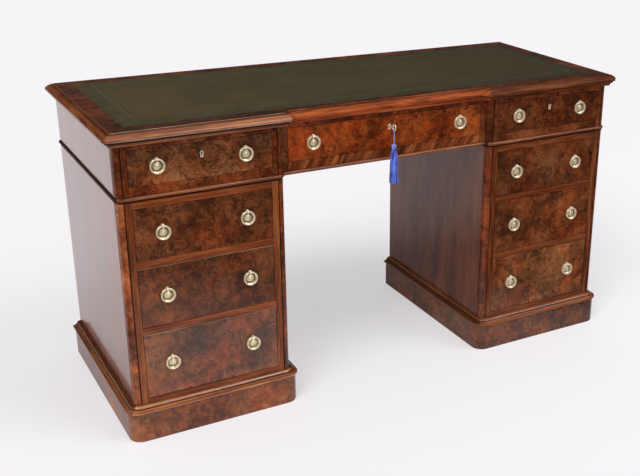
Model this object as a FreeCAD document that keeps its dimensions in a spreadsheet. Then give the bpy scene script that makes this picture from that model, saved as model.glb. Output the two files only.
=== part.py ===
import FreeCAD, Part
import math
import os

os.makedirs("parts", exist_ok=True)
doc = FreeCAD.newDocument("pedestal_desk")
Vector = FreeCAD.Vector

# Driving dimensions in millimetres, one cell each.
sizes = {
    # whole desk
    "desk_height": 775,
    "carcass_width": 1410,
    "carcass_depth": 543,
    "pedestal_width": 406,
    "break_depth": 16.5,
    # moulded top and its leather
    "top_thickness": 33,
    "top_overhang": 22.5,
    "top_corner_cant": 13,
    "thumb_width": 21,
    "thumb_drop": 12,
    "thumb_quirk": 1.2,
    "lip_height": 5,
    "lip_undercut": 5,
    "cove_width": 8,
    "cove_drop": 8,
    "under_round": 6,
    "leather_border": 62,
    "leather_thickness": 1.5,
    # boards of the carcass
    "side_thickness": 16,
    "back_thickness": 12,
    "panel_thickness": 12,
    "frame_thickness": 22,
    "rail_depth": 60,
    "post_radius": 15,
    "quirk_width": 2.6,
    "quirk_depth": 3,
    # frieze
    "frieze_height": 119.5,
    "sole_thickness": 4.5,
    "sole_inset": 3,
    "bead_height": 9,
    "frieze_bottom_rail": 22,
    "frieze_top_rail": 11,
    "frieze_stile": 30.1,
    "centre_stile": 18.1,
    # pedestals
    "pedestal_top_rail": 17,
    "drawer_rail": 18.2,
    "pedestal_bottom_rail": 13.7,
    "pedestal_stile": 33.6,
    "upper_front_share": 127,
    "middle_front_share": 150,
    "lower_front_share": 167,
    # plinths
    "plinth_height": 77,
    "plinth_projection": 16.7,
    "plinth_back_radius": 8,
    "plinth_lip_reach": 22,
    "plinth_lip_height": 4,
    "plinth_moulding_height": 15.5,
    "plinth_bead_reach": 10.5,
    "plinth_bead_height": 5.5,
    "plinth_ledge": 3,
    "plinth_seat": 12,
    # drawers
    "front_thickness": 22,
    "front_gap": 0.9,
    "drawer_side_thickness": 10,
    "drawer_side_drop": 4,
    "drawer_back_drop": 12,
    "drawer_bottom_thickness": 6,
    "drawer_bottom_lift": 5,
    "drawer_back_room": 8,
    "runner_height": 12,
    "runner_clearance": 0.3,
    "guide_height": 18,
    "guide_clearance": 0.8,
    # ring pulls
    "frieze_pull_inset": 66,
    "pedestal_pull_inset": 65,
    "ring_radius": 16.25,
    "ring_wire_radius": 1.75,
    "plate_radius": 17,
    "plate_thickness": 1.4,
    "plate_boss_radius": 6,
    "plate_boss_height": 3.6,
    "plate_ridge_radius": 11.2,
    "plate_ridge_width": 3.2,
    "plate_ridge_height": 1,
    "plate_rim_width": 2.4,
    "plate_ear_radius": 4.2,
    "eye_radius": 4,
    "eye_bore_radius": 2.6,
    "eye_standoff": 6,
    "stem_radius": 1.8,
    "stem_clearance": 0.2,
    "nut_radius": 5,
    "nut_thickness": 3,
    # locks and key
    "keyhole_drop": 25.5,
    "keyhole_radius": 3,
    "keyhole_slot_width": 3.4,
    "keyhole_slot_reach": 9,
    "escutcheon_wall": 1.3,
    "escutcheon_depth": 3,
    "escutcheon_clearance": 0.2,
    "lock_width": 46,
    "lock_height": 40,
    "lock_depth": 12,
    "lock_back_plate": 3,
    "key_chamber_radius": 9,
    "bolt_width": 18,
    "bolt_thickness": 5,
    "bolt_height": 12,
    "bolt_travel": 7,
    "bolt_sink": 1,
    "bolt_clearance": 0.4,
    "key_projection": 34,
    "key_shank_radius": 2,
    "key_end_room": 2,
    "key_bit_reach": 8,
    "key_bit_width": 5,
    "key_bit_thickness": 2.4,
    "key_collar_radius": 3.2,
    "key_collar_length": 3,
    "key_bow_radius": 7.5,
    "key_bow_wire_radius": 1.5,
    # tassel on the key
    "cord_diameter": 3.4,
    "cord_length": 34,
    "cord_seat": 0.3,
    "tassel_head_radius": 6.6,
    "tassel_crown_degrees": 70,
    "tassel_neck_radius": 4.6,
    "tassel_neck_height": 6,
    "tassel_skirt_length": 92,
    "tassel_skirt_top_radius": 7.2,
    "tassel_skirt_end_radius": 11,
    # every cut runs past its face by this
    "cut_overrun": 5,
}

# Places worked out from the sizes, given for the +X end of the desk.
places = {
    "front": "-Size.carcass_depth / 2",
    "back": "Size.carcass_depth / 2",
    "back_inside": "back - Size.back_thickness",
    "centre_front": "front + Size.break_depth",
    "frame_back": "front + Size.frame_thickness",
    "outer": "Size.carcass_width / 2",
    "inner": "outer - Size.pedestal_width",
    "outer_inside": "outer - Size.side_thickness",
    "inner_inside": "inner + Size.side_thickness",
    "bay_centre": "outer - Size.pedestal_width / 2",
    "post_reach": "Size.post_radius + Size.quirk_width",
    "top_underside": "Size.desk_height - Size.top_thickness",
    "frieze_foot": "top_underside - Size.frieze_height",
    "bead_bottom": "frieze_foot - Size.bead_height",
    "pedestal_height": "bead_bottom - Size.sole_thickness",
    "frieze_bottom": "frieze_foot + Size.frieze_bottom_rail",
    "frieze_top": "top_underside - Size.frieze_top_rail",
    "frieze_half": "Size.pedestal_width / 2 - Size.frieze_stile",
    "centre_half": "inner - Size.centre_stile",
    "pedestal_half": "Size.pedestal_width / 2 - Size.pedestal_stile",
    "frieze_front_width": "2 * (frieze_half - Size.front_gap)",
    "centre_front_width": "2 * (centre_half - Size.front_gap)",
    "pedestal_front_width": "2 * (pedestal_half - Size.front_gap)",
    "frieze_pull_spacing": "frieze_front_width - 2 * Size.frieze_pull_inset",
    "centre_pull_spacing": "centre_front_width - 2 * Size.frieze_pull_inset",
    "pedestal_pull_spacing": "pedestal_front_width - 2 * Size.pedestal_pull_inset",
    "carcass_foot": "Size.plinth_height + Size.plinth_moulding_height",
    "pedestal_rails": "Size.pedestal_top_rail + 2 * Size.drawer_rail + Size.pedestal_bottom_rail",
    "fronts_height": "pedestal_height - carcass_foot - pedestal_rails - 6 * Size.front_gap",
    "front_shares": "Size.upper_front_share + Size.middle_front_share + Size.lower_front_share",
    "share_height": "fronts_height / front_shares",
    "upper_top": "pedestal_height - Size.pedestal_top_rail",
    "upper_bottom": "upper_top - Size.upper_front_share * share_height - 2 * Size.front_gap",
    "middle_top": "upper_bottom - Size.drawer_rail",
    "middle_bottom": "middle_top - Size.middle_front_share * share_height - 2 * Size.front_gap",
    "lower_top": "middle_bottom - Size.drawer_rail",
    "lower_bottom": "lower_top - Size.lower_front_share * share_height - 2 * Size.front_gap",
    "box_back": "back_inside - Size.drawer_back_room",
    "lock_top": "frieze_top - Size.front_gap",
    "keyhole": "lock_top - Size.keyhole_drop",
    "bolt_top": "lock_top - Size.bolt_sink",
    "bolt_bottom": "bolt_top - Size.bolt_height",
    "bow_outside": "Size.key_bow_radius + Size.key_bow_wire_radius",
    "bow_middle": "centre_front - Size.key_projection + bow_outside",
    "cord_top": "keyhole - bow_outside - Size.cord_seat",
    "cord_end": "cord_top - Size.cord_length",
    "head_middle": "cord_end - Size.tassel_head_radius * sin(Size.tassel_crown_degrees * 1deg)",
    "skirt_top": "head_middle - Size.tassel_head_radius",
}


def fill_sheet(name, cells, sign=""):
    sheet = doc.addObject("Spreadsheet::Sheet", name)
    for row, (alias, content) in enumerate(cells.items(), start=1):
        sheet.set(f"A{row}", alias)
        sheet.set(f"B{row}", f"{sign}{content}")
        sheet.setAlias(f"B{row}", alias)
    doc.recompute()
    return sheet


size = fill_sheet("Size", sizes)
place = fill_sheet("Place", places, "=")
nodes = []


def put(item, x, y, z):
    for axis, text in zip("xyz", (x, y, z)):
        item.setExpression(f"Placement.Base.{axis}", text)
    return item


def block(label, x, y, z, side=1):
    """A board between two corners; side -1 mirrors it to the other end of the desk."""
    if side < 0:
        x = (f"-({x[1]})", f"-({x[0]})")
    item = doc.addObject("Part::Box", label)
    for prop, (low, high) in zip(("Length", "Width", "Height"), (x, y, z)):
        item.setExpression(prop, f"({high}) - ({low})")
    return put(item, x[0], y[0], z[0])


def round_bar(label, radius, length, x, y, z, along=(0, 1, 0)):
    """A cylinder that starts at a point and runs along one axis."""
    item = doc.addObject("Part::Cylinder", label)
    item.Placement.Rotation = FreeCAD.Rotation(Vector(0, 0, 1), Vector(*along))
    item.setExpression("Radius", radius)
    item.setExpression("Height", length)
    return put(item, x, y, z)


def wire_ring(label, radius, wire, x, y, z, axis):
    item = doc.addObject("Part::Torus", label)
    item.Placement.Rotation = FreeCAD.Rotation(Vector(0, 0, 1), Vector(*axis))
    item.setExpression("Radius1", radius)
    item.setExpression("Radius2", wire)
    return put(item, x, y, z)


def fuse(label, items):
    item = doc.addObject("Part::MultiFuse", label)
    item.Shapes = items
    return item


def cut(label, base, tools):
    item = doc.addObject("Part::Cut", label)
    item.Base = base
    item.Tool = tools[0] if len(tools) == 1 else fuse(f"{label}_tools", tools)
    return item


def shaped(label, shape, spot=(0, 0, 0)):
    item = doc.addObject("Part::Feature", label)
    item.Shape = shape
    item.Placement.Base = Vector(*spot)
    return item


def node(label, items):
    """One exported sub-part; several items stay separate solids in it."""
    item = items[0]
    if len(items) > 1:
        item = doc.addObject("Part::Compound", label)
        item.Links = items
    item.Label = label
    nodes.append(item)


# Sections are lists of runs in (outward, up); a run of three points is an arc.
def section_face(section, origin, outward):
    edges = []
    for points in section:
        ends = [origin + outward * u + Vector(0, 0, z) for u, z in points]
        make = Part.Arc if len(ends) == 3 else Part.LineSegment
        edges.append(make(*ends).toShape())
    return Part.Face(Part.Wire(edges))


def quarter_middle(centre_u, centre_z, radius_u, radius_z):
    slant = math.sqrt(0.5)
    return (centre_u + radius_u * slant, centre_z + radius_z * slant)


def thumb_middle(start_u, start_z, run, rise):
    """The middle of an arc that starts level and falls by rise over run."""
    radius = (run ** 2 + rise ** 2) / (2 * rise)
    turn = math.atan2(rise, run)
    return (start_u + radius * math.sin(turn), start_z - radius * (1 - math.cos(turn)))


def mirrored(shape, side):
    return shape if side > 0 else shape.mirror(Vector(0, 0, 0), Vector(1, 0, 0))


# Top board: the common of moulded runs along each edge, then the leather's recess.
def top_section():
    lip_top = size.desk_height - size.thumb_drop
    lip_bottom = lip_top - size.lip_height
    quirk = size.desk_height - size.thumb_quirk
    thumb = -size.thumb_width
    thumb_bend = thumb_middle(thumb, quirk, size.thumb_width, quirk - lip_top)
    cove = -size.lip_undercut
    cove_end = cove - size.cove_width
    cove_bottom = lip_bottom - size.cove_drop
    cove_middle = quarter_middle(cove_end, lip_bottom, size.cove_width, -size.cove_drop)
    bottom = place.top_underside
    round_end = cove_end - size.under_round
    round_top = bottom + size.under_round
    round_middle = quarter_middle(round_end, round_top, size.under_round, -size.under_round)
    reach = -2 * size.carcass_width
    return [
        [(reach, bottom), (reach, size.desk_height)],
        [(reach, size.desk_height), (thumb, size.desk_height)],
        [(thumb, size.desk_height), (thumb, quirk)],
        [(thumb, quirk), thumb_bend, (0, lip_top)],
        [(0, lip_top), (0, lip_bottom)],
        [(0, lip_bottom), (cove, lip_bottom)],
        [(cove, lip_bottom), cove_middle, (cove_end, cove_bottom)],
        [(cove_end, cove_bottom), (cove_end, round_top)],
        [(cove_end, round_top), round_middle, (round_end, bottom)],
        [(round_end, bottom), (reach, bottom)],
    ]


def edge_run(start, end, section):
    """The section drawn along one edge and past both its ends; the board lies to the left of it."""
    start = Vector(*start, 0)
    end = Vector(*end, 0)
    along = (end - start).normalize()
    past = along * size.carcass_width
    face = section_face(section, start - past, Vector(along.y, -along.x, 0))
    return face.extrude(end - start + past * 2)


def make_top():
    section = top_section()
    half = place.outer + size.top_overhang
    front = place.front - size.top_overhang
    back = place.back + size.top_overhang
    cant = size.top_corner_cant
    outline = [
        (cant - half, front),
        (half - cant, front),
        (half, front + cant),
        (half, back - cant),
        (half - cant, back),
        (cant - half, back),
        (-half, back - cant),
        (-half, front + cant),
    ]
    board = None
    for start, end in zip(outline, outline[1:] + outline[:1]):
        run = edge_run(start, end, section)
        board = run if board is None else board.common(run)
    centre_edge = front + size.break_depth
    step = place.inner - size.top_overhang
    step_outer = step + size.break_depth / 2
    step_inner = step - size.break_depth / 2
    wing = edge_run((step_inner, centre_edge), (step_outer, front), section)
    middle = edge_run((-step_inner, centre_edge), (step_inner, centre_edge), section)
    board = board.common(middle.fuse([wing, mirrored(wing, -1)])).removeSplitter()
    inset = size.leather_border
    recess = Part.makeBox(
        2 * (half - inset),
        back - front - 2 * inset,
        size.leather_thickness + size.cut_overrun,
        Vector(inset - half, front + inset, size.desk_height - size.leather_thickness),
    )
    return board.cut(recess)


node("top_board", [shaped("top_board", make_top())])

leather_end = "Place.outer + Size.top_overhang - Size.leather_border"
leather_back = "Place.back + Size.top_overhang - Size.leather_border"
node("writing_leather", [block(
    "writing_leather",
    (f"-({leather_end})", leather_end),
    (f"-({leather_back})", leather_back),
    ("Size.desk_height - Size.leather_thickness", "Size.desk_height"),
)])


# Mouldings that turn two rounded front corners of a bay.
def wrapped(section, low, high, low_end, high_end):
    """The section along the front of a bay and back along both sides to the given ends."""
    radius = size.post_radius
    front = place.front
    up = Vector(0, 0, 1)
    turn = 90
    pieces = [
        section_face(section, Vector(low + radius, front, 0), Vector(0, -1, 0)).extrude(
            Vector(high - low - 2 * radius, 0, 0)
        ),
        section_face(section, Vector(low, front + radius, 0), Vector(-1, 0, 0)).extrude(
            Vector(0, low_end - front - radius, 0)
        ),
        section_face(section, Vector(high, front + radius, 0), Vector(1, 0, 0)).extrude(
            Vector(0, high_end - front - radius, 0)
        ),
        section_face(section, Vector(low, front + radius, 0), Vector(-1, 0, 0)).revolve(
            Vector(low + radius, front + radius, 0), up, turn
        ),
        section_face(section, Vector(high - radius, front, 0), Vector(0, -1, 0)).revolve(
            Vector(high - radius, front + radius, 0), up, turn
        ),
    ]
    return pieces[0].fuse(pieces[1:])


def mitre(points, low, high):
    outline = Part.makePolygon([Vector(x, y, low) for x, y in points + points[:1]])
    return Part.Face(outline).extrude(Vector(0, 0, high - low))


def make_bead_boards():
    """Nosed boards under the frieze: one over each pedestal and a bridge mitred between them."""
    low = place.bead_bottom
    high = place.frieze_foot
    nose = size.bead_height / 2
    inset = size.plinth_seat
    section = [
        [(-inset, low), (0, low)],
        [(0, low), (nose, low + nose), (0, high)],
        [(0, high), (-inset, high)],
        [(-inset, high), (-inset, low)],
    ]
    inner, step = place.inner, place.centre_front
    past = nose + size.cut_overrun
    wing = wrapped(section, inner, place.outer, step, place.back)
    field = Part.makeBox(
        size.pedestal_width - 2 * inset,
        size.carcass_depth - inset,
        size.bead_height,
        Vector(inner + inset, place.front + inset, low),
    )
    inner_strip = Part.makeBox(inset, place.back - step, size.bead_height, Vector(inner, step, low))
    wing = wing.fuse([field, inner_strip])
    wing = wing.cut(mitre([(inner, step), (inner - past, step), (inner - past, step - past)], low, high))
    bridge = Part.makeBox(2 * inner, size.rail_depth, size.bead_height, Vector(-inner, step, low))
    bridge_nose = section_face(section, Vector(-inner, step, 0), Vector(0, -1, 0))
    bridge = bridge.fuse(bridge_nose.extrude(Vector(2 * inner, 0, 0)))
    wedge = mitre([(inner, step), (inner, step - past), (inner - past, step - past)], low, high)
    bridge = bridge.cut([wedge, mirrored(wedge, -1)])
    return [board.removeSplitter() for board in (wing, mirrored(wing, -1), bridge)]


def make_plinth_moulding():
    low = size.plinth_height
    high = place.carcass_foot
    lip = low + size.plinth_lip_height
    seat = -size.plinth_seat
    reach = size.plinth_lip_reach
    ledge = size.plinth_ledge
    bead = size.plinth_bead_reach
    foot = high - size.plinth_bead_height
    round_middle = thumb_middle(ledge, high, bead - ledge, high - foot)
    across, up = thumb_middle(bead, foot, reach - bead, foot - lip)
    hollow_middle = (bead + reach - across, foot + lip - up)
    section = [
        [(seat, low), (reach, low)],
        [(reach, low), (reach, lip)],
        [(reach, lip), hollow_middle, (bead, foot)],
        [(bead, foot), round_middle, (ledge, high)],
        [(ledge, high), (seat, high)],
        [(seat, high), (seat, low)],
    ]
    inset = size.plinth_seat
    back_bar = Part.makeBox(
        size.pedestal_width - 2 * inset,
        inset,
        high - low,
        Vector(place.inner + inset, place.back - inset, low),
    )
    rebate = Part.makeBox(
        size.pedestal_width - 2 * inset,
        size.carcass_depth - 2 * inset,
        high - low,
        Vector(place.inner + inset, place.front + inset, low),
    )
    frame = wrapped(section, place.inner, place.outer, place.back, place.back).fuse(back_bar)
    return frame.cut(rebate).removeSplitter()


def corner_edges(block_shape, y):
    """The upright edges of a plinth block at one y."""
    middle = size.plinth_height / 2
    return [
        edge for edge in block_shape.Edges
        if math.isclose(edge.CenterOfMass.z, middle) and math.isclose(edge.CenterOfMass.y, y)
    ]


def make_plinth_frame():
    out = size.plinth_projection
    low = place.inner - out
    front = place.front - out
    frame = Part.makeBox(
        size.pedestal_width + 2 * out,
        place.back - front,
        size.plinth_height,
        Vector(low, front, 0),
    )
    frame = frame.makeFillet(size.post_radius + out, corner_edges(frame, front))
    frame = frame.makeFillet(size.plinth_back_radius, corner_edges(frame, place.back))
    inset = size.plinth_seat
    hollow = Part.makeBox(
        size.pedestal_width - 2 * inset,
        size.carcass_depth - 2 * inset,
        size.plinth_height,
        Vector(place.inner + inset, place.front + inset, 0),
    )
    return frame.cut(hollow)


def corner_post(label, face, inward, low, high, side_quirk=True):
    """A post with a rounded front corner; quirks part it from the stile and the side panel."""
    radius = size.post_radius
    reach = place.post_reach
    depth = size.frame_thickness
    sink = size.quirk_depth
    bend = radius * (1 - math.sqrt(0.5))
    runs = [[(0, radius), (bend, bend), (radius, 0)]]
    points = [(radius, 0), (radius, sink), (reach, sink), (reach, depth), (0, depth)]
    if side_quirk:
        points += [(0, reach), (sink, reach), (sink, radius)]
    points.append((0, radius))
    runs += [[a, b] for a, b in zip(points, points[1:])]
    edges = []
    for run in runs:
        ends = [Vector(face + inward * u, place.front + v, low) for u, v in run]
        make = Part.Arc if len(ends) == 3 else Part.LineSegment
        edges.append(make(*ends).toShape())
    post = Part.Face(Part.Wire(edges)).extrude(Vector(0, 0, high - low))
    return shaped(label, post)


# Runners and guides beside one drawer; panel gives the faces they are fixed to.
def drawer_slides(label, middle, width, front, bottom, panels, side):
    low_panel, high_panel = panels
    run = (f"{front} + Size.rail_depth", "Place.back_inside")
    top = f"{bottom} + Size.front_gap - Size.runner_clearance"
    ledge = "Size.drawer_side_thickness"
    room = "Size.guide_clearance"
    left = f"{middle} - {width} / 2"
    right = f"{middle} + {width} / 2"
    runner = (f"{top} - Size.runner_height", top)
    guide = (top, f"{top} + Size.guide_height")
    return [
        block(f"{label}_runner_in", (low_panel, f"{left} + {ledge}"), run, runner, side),
        block(f"{label}_runner_out", (f"{right} - {ledge}", high_panel), run, runner, side),
        block(f"{label}_guide_in", (low_panel, f"{left} - {room}"), run, guide, side),
        block(f"{label}_guide_out", (f"{right} + {room}", high_panel), run, guide, side),
    ]


side_names = {-1: "left", 1: "right"}
bay_panels = ("Place.inner_inside", "Place.outer_inside")
frame_run = ("Place.front", "Place.frame_back")
rail_run = ("Place.front", "Place.front + Size.rail_depth")
panel_run = ("Place.front + Size.rail_depth", "Place.back_inside")
side_run = ("Place.frame_back", "Place.back")
between_sides = ("Place.inner_inside", "Place.outer_inside")
outer_post = "Place.outer - Place.post_reach"
inner_post = "Place.inner + Place.post_reach"
centre_stile = ("Place.centre_half", "Place.inner")

# Frieze case: the shallow upper stage that joins the two pedestals.
frieze_height = ("Place.frieze_foot", "Place.top_underside")
top_rail_height = ("Place.frieze_top", "Place.top_underside")
bottom_rail_height = ("Place.frieze_foot", "Place.frieze_bottom")
centre_bay = ("-Place.centre_half", "Place.centre_half")
centre_rail_run = ("Place.centre_front", "Place.centre_front + Size.rail_depth")
centre_frame_run = ("Place.centre_front", "Place.centre_front + Size.frame_thickness")


def bolt_spans(x, front, room):
    """How far a lock bolt reaches along X and Y, widened by room."""
    middle = f"{front} + Size.front_thickness - Size.lock_depth / 2"
    half_width = f"(Size.bolt_width / 2 + {room})"
    half_thickness = f"(Size.bolt_thickness / 2 + {room})"
    return (
        (f"{x} - {half_width}", f"{x} + {half_width}"),
        (f"{middle} - {half_thickness}", f"{middle} + {half_thickness}"),
    )


def mortised_rail(label, x, y, front, middle, side):
    """A top rail with the mortise that the lock bolt enters."""
    mortise = block(
        f"{label}_mortise",
        *bolt_spans(middle, front, "Size.bolt_clearance"),
        ("Place.frieze_top - Size.cut_overrun", "Place.frieze_top + Size.bolt_travel"),
        side,
    )
    return cut(label, block(f"{label}_blank", x, y, top_rail_height, side), [mortise])


bead_names = ("right_bead_board", "left_bead_board", "bridge_bead_board")
frieze = [shaped(name, board) for name, board in zip(bead_names, make_bead_boards())]
frieze += [
    block(
        "frieze_back",
        ("-Place.outer_inside", "Place.outer_inside"),
        ("Place.back_inside", "Place.back"),
        frieze_height,
    ),
    block("centre_bottom_rail", centre_bay, centre_rail_run, bottom_rail_height),
    mortised_rail(
        "centre_top_rail",
        centre_bay,
        centre_rail_run,
        "Place.centre_front",
        "0",
        1,
    ),
]
for side, name in side_names.items():
    bay = ("Place.bay_centre - Place.frieze_half", "Place.bay_centre + Place.frieze_half")
    low, high = place.frieze_foot, place.top_underside
    frieze += [
        block(
            f"{name}_sole",
            ("Place.inner + Size.sole_inset", "Place.outer - Size.sole_inset"),
            ("Place.front + Size.sole_inset", "Place.back - Size.sole_inset"),
            ("Place.pedestal_height", "Place.bead_bottom"),
            side,
        ),
        block(f"{name}_frieze_end", ("Place.outer_inside", "Place.outer"), side_run, frieze_height, side),
        block(
            f"{name}_partition",
            ("Place.inner", "Place.inner_inside"),
            ("Place.frame_back", "Place.back_inside"),
            frieze_height,
            side,
        ),
        corner_post(f"{name}_frieze_outer_post", side * place.outer, -side, low, high),
        corner_post(f"{name}_frieze_inner_post", side * place.inner, side, low, high, side_quirk=False),
        block(f"{name}_frieze_outer_stile", (bay[1], outer_post), frame_run, frieze_height, side),
        block(f"{name}_frieze_inner_stile", (inner_post, bay[0]), frame_run, frieze_height, side),
        block(f"{name}_centre_stile", centre_stile, centre_frame_run, frieze_height, side),
        block(f"{name}_frieze_bottom_rail", bay, rail_run, bottom_rail_height, side),
        mortised_rail(f"{name}_frieze_top_rail", bay, rail_run, "Place.front", "Place.bay_centre", side),
    ]
    frieze += drawer_slides(
        f"{name}_frieze",
        "Place.bay_centre",
        "Place.frieze_front_width",
        "Place.front",
        "Place.frieze_bottom",
        bay_panels,
        side,
    )
frieze += drawer_slides(
    "centre_frieze",
    "0",
    "Place.centre_front_width",
    "Place.centre_front",
    "Place.frieze_bottom",
    ("-Place.inner", "Place.inner"),
    1,
)
node("frieze_case", frieze)

# Pedestals: carcass, front frame and plinth of each.
carcass_height = ("Place.carcass_foot", "Place.pedestal_height")
for side, name in side_names.items():
    bay = ("Place.bay_centre - Place.pedestal_half", "Place.bay_centre + Place.pedestal_half")
    carcass = [
        block(f"{name}_outer_side", ("Place.outer_inside", "Place.outer"), side_run, carcass_height, side),
        block(f"{name}_inner_side", ("Place.inner", "Place.inner_inside"), side_run, carcass_height, side),
        block(f"{name}_back", between_sides, ("Place.back_inside", "Place.back"), carcass_height, side),
        block(
            f"{name}_top_panel",
            between_sides,
            panel_run,
            ("Place.pedestal_height - Size.panel_thickness", "Place.pedestal_height"),
            side,
        ),
        block(
            f"{name}_bottom_panel",
            ("Place.inner + Size.plinth_seat", "Place.outer - Size.plinth_seat"),
            ("Place.front + Size.plinth_seat", "Place.back - Size.plinth_seat"),
            ("Place.carcass_foot - Size.panel_thickness", "Place.carcass_foot"),
            side,
        ),
    ]
    low, high = place.carcass_foot, place.pedestal_height
    frame = [
        corner_post(f"{name}_outer_post", side * place.outer, -side, low, high),
        corner_post(f"{name}_inner_post", side * place.inner, side, low, high),
        block(f"{name}_outer_stile", (bay[1], outer_post), frame_run, carcass_height, side),
        block(f"{name}_inner_stile", (inner_post, bay[0]), frame_run, carcass_height, side),
    ]
    rails = [
        ("top_rail", "Place.upper_top", "Place.pedestal_height"),
        ("upper_rail", "Place.middle_top", "Place.upper_bottom"),
        ("lower_rail", "Place.lower_top", "Place.middle_bottom"),
        ("bottom_rail", "Place.carcass_foot", "Place.lower_bottom"),
    ]
    frame += [block(f"{name}_{rail}", bay, rail_run, (low, high), side) for rail, low, high in rails]
    for row in ("upper", "middle", "lower"):
        carcass += drawer_slides(
            f"{name}_{row}",
            "Place.bay_centre",
            "Place.pedestal_front_width",
            "Place.front",
            f"Place.{row}_bottom",
            bay_panels,
            side,
        )
    node(f"{name}_pedestal_carcass", carcass)
    node(f"{name}_pedestal_frame", frame)
    node(f"{name}_plinth", [
        shaped(f"{name}_plinth_frame", mirrored(make_plinth_frame(), side)),
        shaped(f"{name}_plinth_moulding", mirrored(make_plinth_moulding(), side)),
    ])


# Ring pulls: a stamped plate, an eye with its stem and nut, and the ring.
def make_plate():
    thick = size.plate_thickness
    boss = size.plate_boss_radius
    boss_rise = size.plate_boss_height - thick
    boss_turn = math.atan2(boss_rise, boss)
    boss_centre = size.plate_boss_height - boss / math.sin(2 * boss_turn)
    boss_arc = size.plate_boss_height - boss_centre
    ridge_in = size.plate_ridge_radius - size.plate_ridge_width / 2
    ridge_out = size.plate_ridge_radius + size.plate_ridge_width / 2
    rim_in = size.plate_radius - size.plate_rim_width
    rim_middle = size.plate_radius - size.plate_rim_width / 2
    runs = [
        [(0, 0), (0, size.plate_boss_height)],
        [
            (0, size.plate_boss_height),
            (boss_arc * math.sin(boss_turn), boss_centre + boss_arc * math.cos(boss_turn)),
            (boss, thick),
        ],
        [(boss, thick), (ridge_in, thick)],
        [(ridge_in, thick), (size.plate_ridge_radius, thick + size.plate_ridge_height), (ridge_out, thick)],
        [(ridge_out, thick), (rim_in, thick)],
        [(rim_in, thick), (rim_middle, thick + size.plate_ridge_height), (size.plate_radius, thick)],
        [(size.plate_radius, thick), (size.plate_radius, 0)],
        [(size.plate_radius, 0), (0, 0)],
    ]
    edges = []
    for run in runs:
        ends = [Vector(u, -v, 0) for u, v in run]
        make = Part.Arc if len(ends) == 3 else Part.LineSegment
        edges.append(make(*ends).toShape())
    plate = Part.Face(Part.Wire(edges)).revolve(Vector(0, 0, 0), Vector(0, 1, 0), 360)
    ear_spot = Vector(0, 0, size.ring_radius)
    outward = Vector(0, -1, 0)
    ear = Part.makeCylinder(size.plate_ear_radius, thick, ear_spot, outward)
    eye_seat = Part.makeCylinder(
        size.plate_ear_radius,
        size.plate_boss_height,
        ear_spot + outward * thick,
        outward,
    )
    hole_radius = size.stem_radius + size.stem_clearance
    hole_start = ear_spot - outward * size.cut_overrun
    hole = Part.makeCylinder(hole_radius, 2 * size.cut_overrun, hole_start, outward)
    return plate.fuse(ear).cut(eye_seat).cut(hole).removeSplitter()


plate_shape = make_plate()


def ring_pull(label, x, front, plate_height):
    """Fixed pieces of one pull; the ring is a node of its own."""
    eye_height = f"{plate_height} + Size.ring_radius"
    eye_front = f"{front} - Size.eye_standoff"
    stem_length = "Size.eye_standoff + Size.front_thickness + Size.nut_thickness"
    plate = shaped(f"{label}_plate", plate_shape.copy())
    put(plate, x, front, plate_height)
    ball = doc.addObject("Part::Sphere", f"{label}_ball")
    ball.setExpression("Radius", "Size.eye_radius")
    put(ball, x, eye_front, eye_height)
    stem = round_bar(f"{label}_stem", "Size.stem_radius", stem_length, x, eye_front, eye_height)
    bore = round_bar(
        f"{label}_bore",
        "Size.eye_bore_radius",
        "4 * Size.eye_radius",
        f"{x} - 2 * Size.eye_radius",
        eye_front,
        eye_height,
        along=(1, 0, 0),
    )
    eye = cut(f"{label}_eye", fuse(f"{label}_eye_blank", [ball, stem]), [bore])
    nut_blank = doc.addObject("Part::Prism", f"{label}_nut_blank")
    nut_blank.Polygon = 6
    nut_blank.Placement.Rotation = FreeCAD.Rotation(Vector(0, 0, 1), Vector(0, 1, 0))
    nut_blank.setExpression("Circumradius", "Size.nut_radius")
    nut_blank.setExpression("Height", "Size.nut_thickness")
    put(nut_blank, x, f"{front} + Size.front_thickness", eye_height)
    thread = round_bar(
        f"{label}_thread",
        "Size.stem_radius + Size.stem_clearance",
        stem_length,
        x,
        front,
        eye_height,
    )
    nut = cut(f"{label}_nut", nut_blank, [thread])
    ring = wire_ring(
        f"{label}_ring",
        "Size.ring_radius",
        "Size.ring_wire_radius",
        x,
        eye_front,
        plate_height,
        (0, 1, 0),
    )
    node(f"{label}_ring", [ring])
    return [plate, eye, nut]


def stem_hole(label, x, front, plate_height):
    return round_bar(
        f"{label}_hole",
        "Size.stem_radius + Size.stem_clearance",
        "Size.front_thickness + 2 * Size.cut_overrun",
        x,
        f"{front} - Size.cut_overrun",
        f"{plate_height} + Size.ring_radius",
    )


def keyhole_shape(label, x, start, end, grow):
    """A round hole with a slot below it, widened by grow."""
    radius = f"Size.keyhole_radius + {grow}"
    half = f"(Size.keyhole_slot_width / 2 + {grow})"
    return fuse(label, [
        round_bar(f"{label}_round", radius, f"({end}) - ({start})", x, start, "Place.keyhole"),
        block(
            f"{label}_slot",
            (f"{x} - {half}", f"{x} + {half}"),
            (start, end),
            (f"Place.keyhole - (Size.keyhole_slot_reach + {grow})", "Place.keyhole"),
        ),
    ])


def lock_cuts(label, x, front):
    """What is cut from a drawer front for its lock, keyhole and escutcheon."""
    back = f"{front} + Size.front_thickness"
    edge = "Size.escutcheon_wall + Size.escutcheon_clearance"
    return [
        block(
            f"{label}_lock_notch",
            (f"{x} - Size.lock_width / 2", f"{x} + Size.lock_width / 2"),
            (f"{back} - Size.lock_depth", f"{back} + Size.cut_overrun"),
            ("Place.lock_top - Size.lock_height", "Place.lock_top + Size.cut_overrun"),
        ),
        keyhole_shape(f"{label}_key_way", x, f"{front} - Size.cut_overrun", back, "0"),
        keyhole_shape(
            f"{label}_inlay",
            x,
            f"{front} - Size.cut_overrun",
            f"{front} + Size.escutcheon_depth",
            edge,
        ),
    ]


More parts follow.
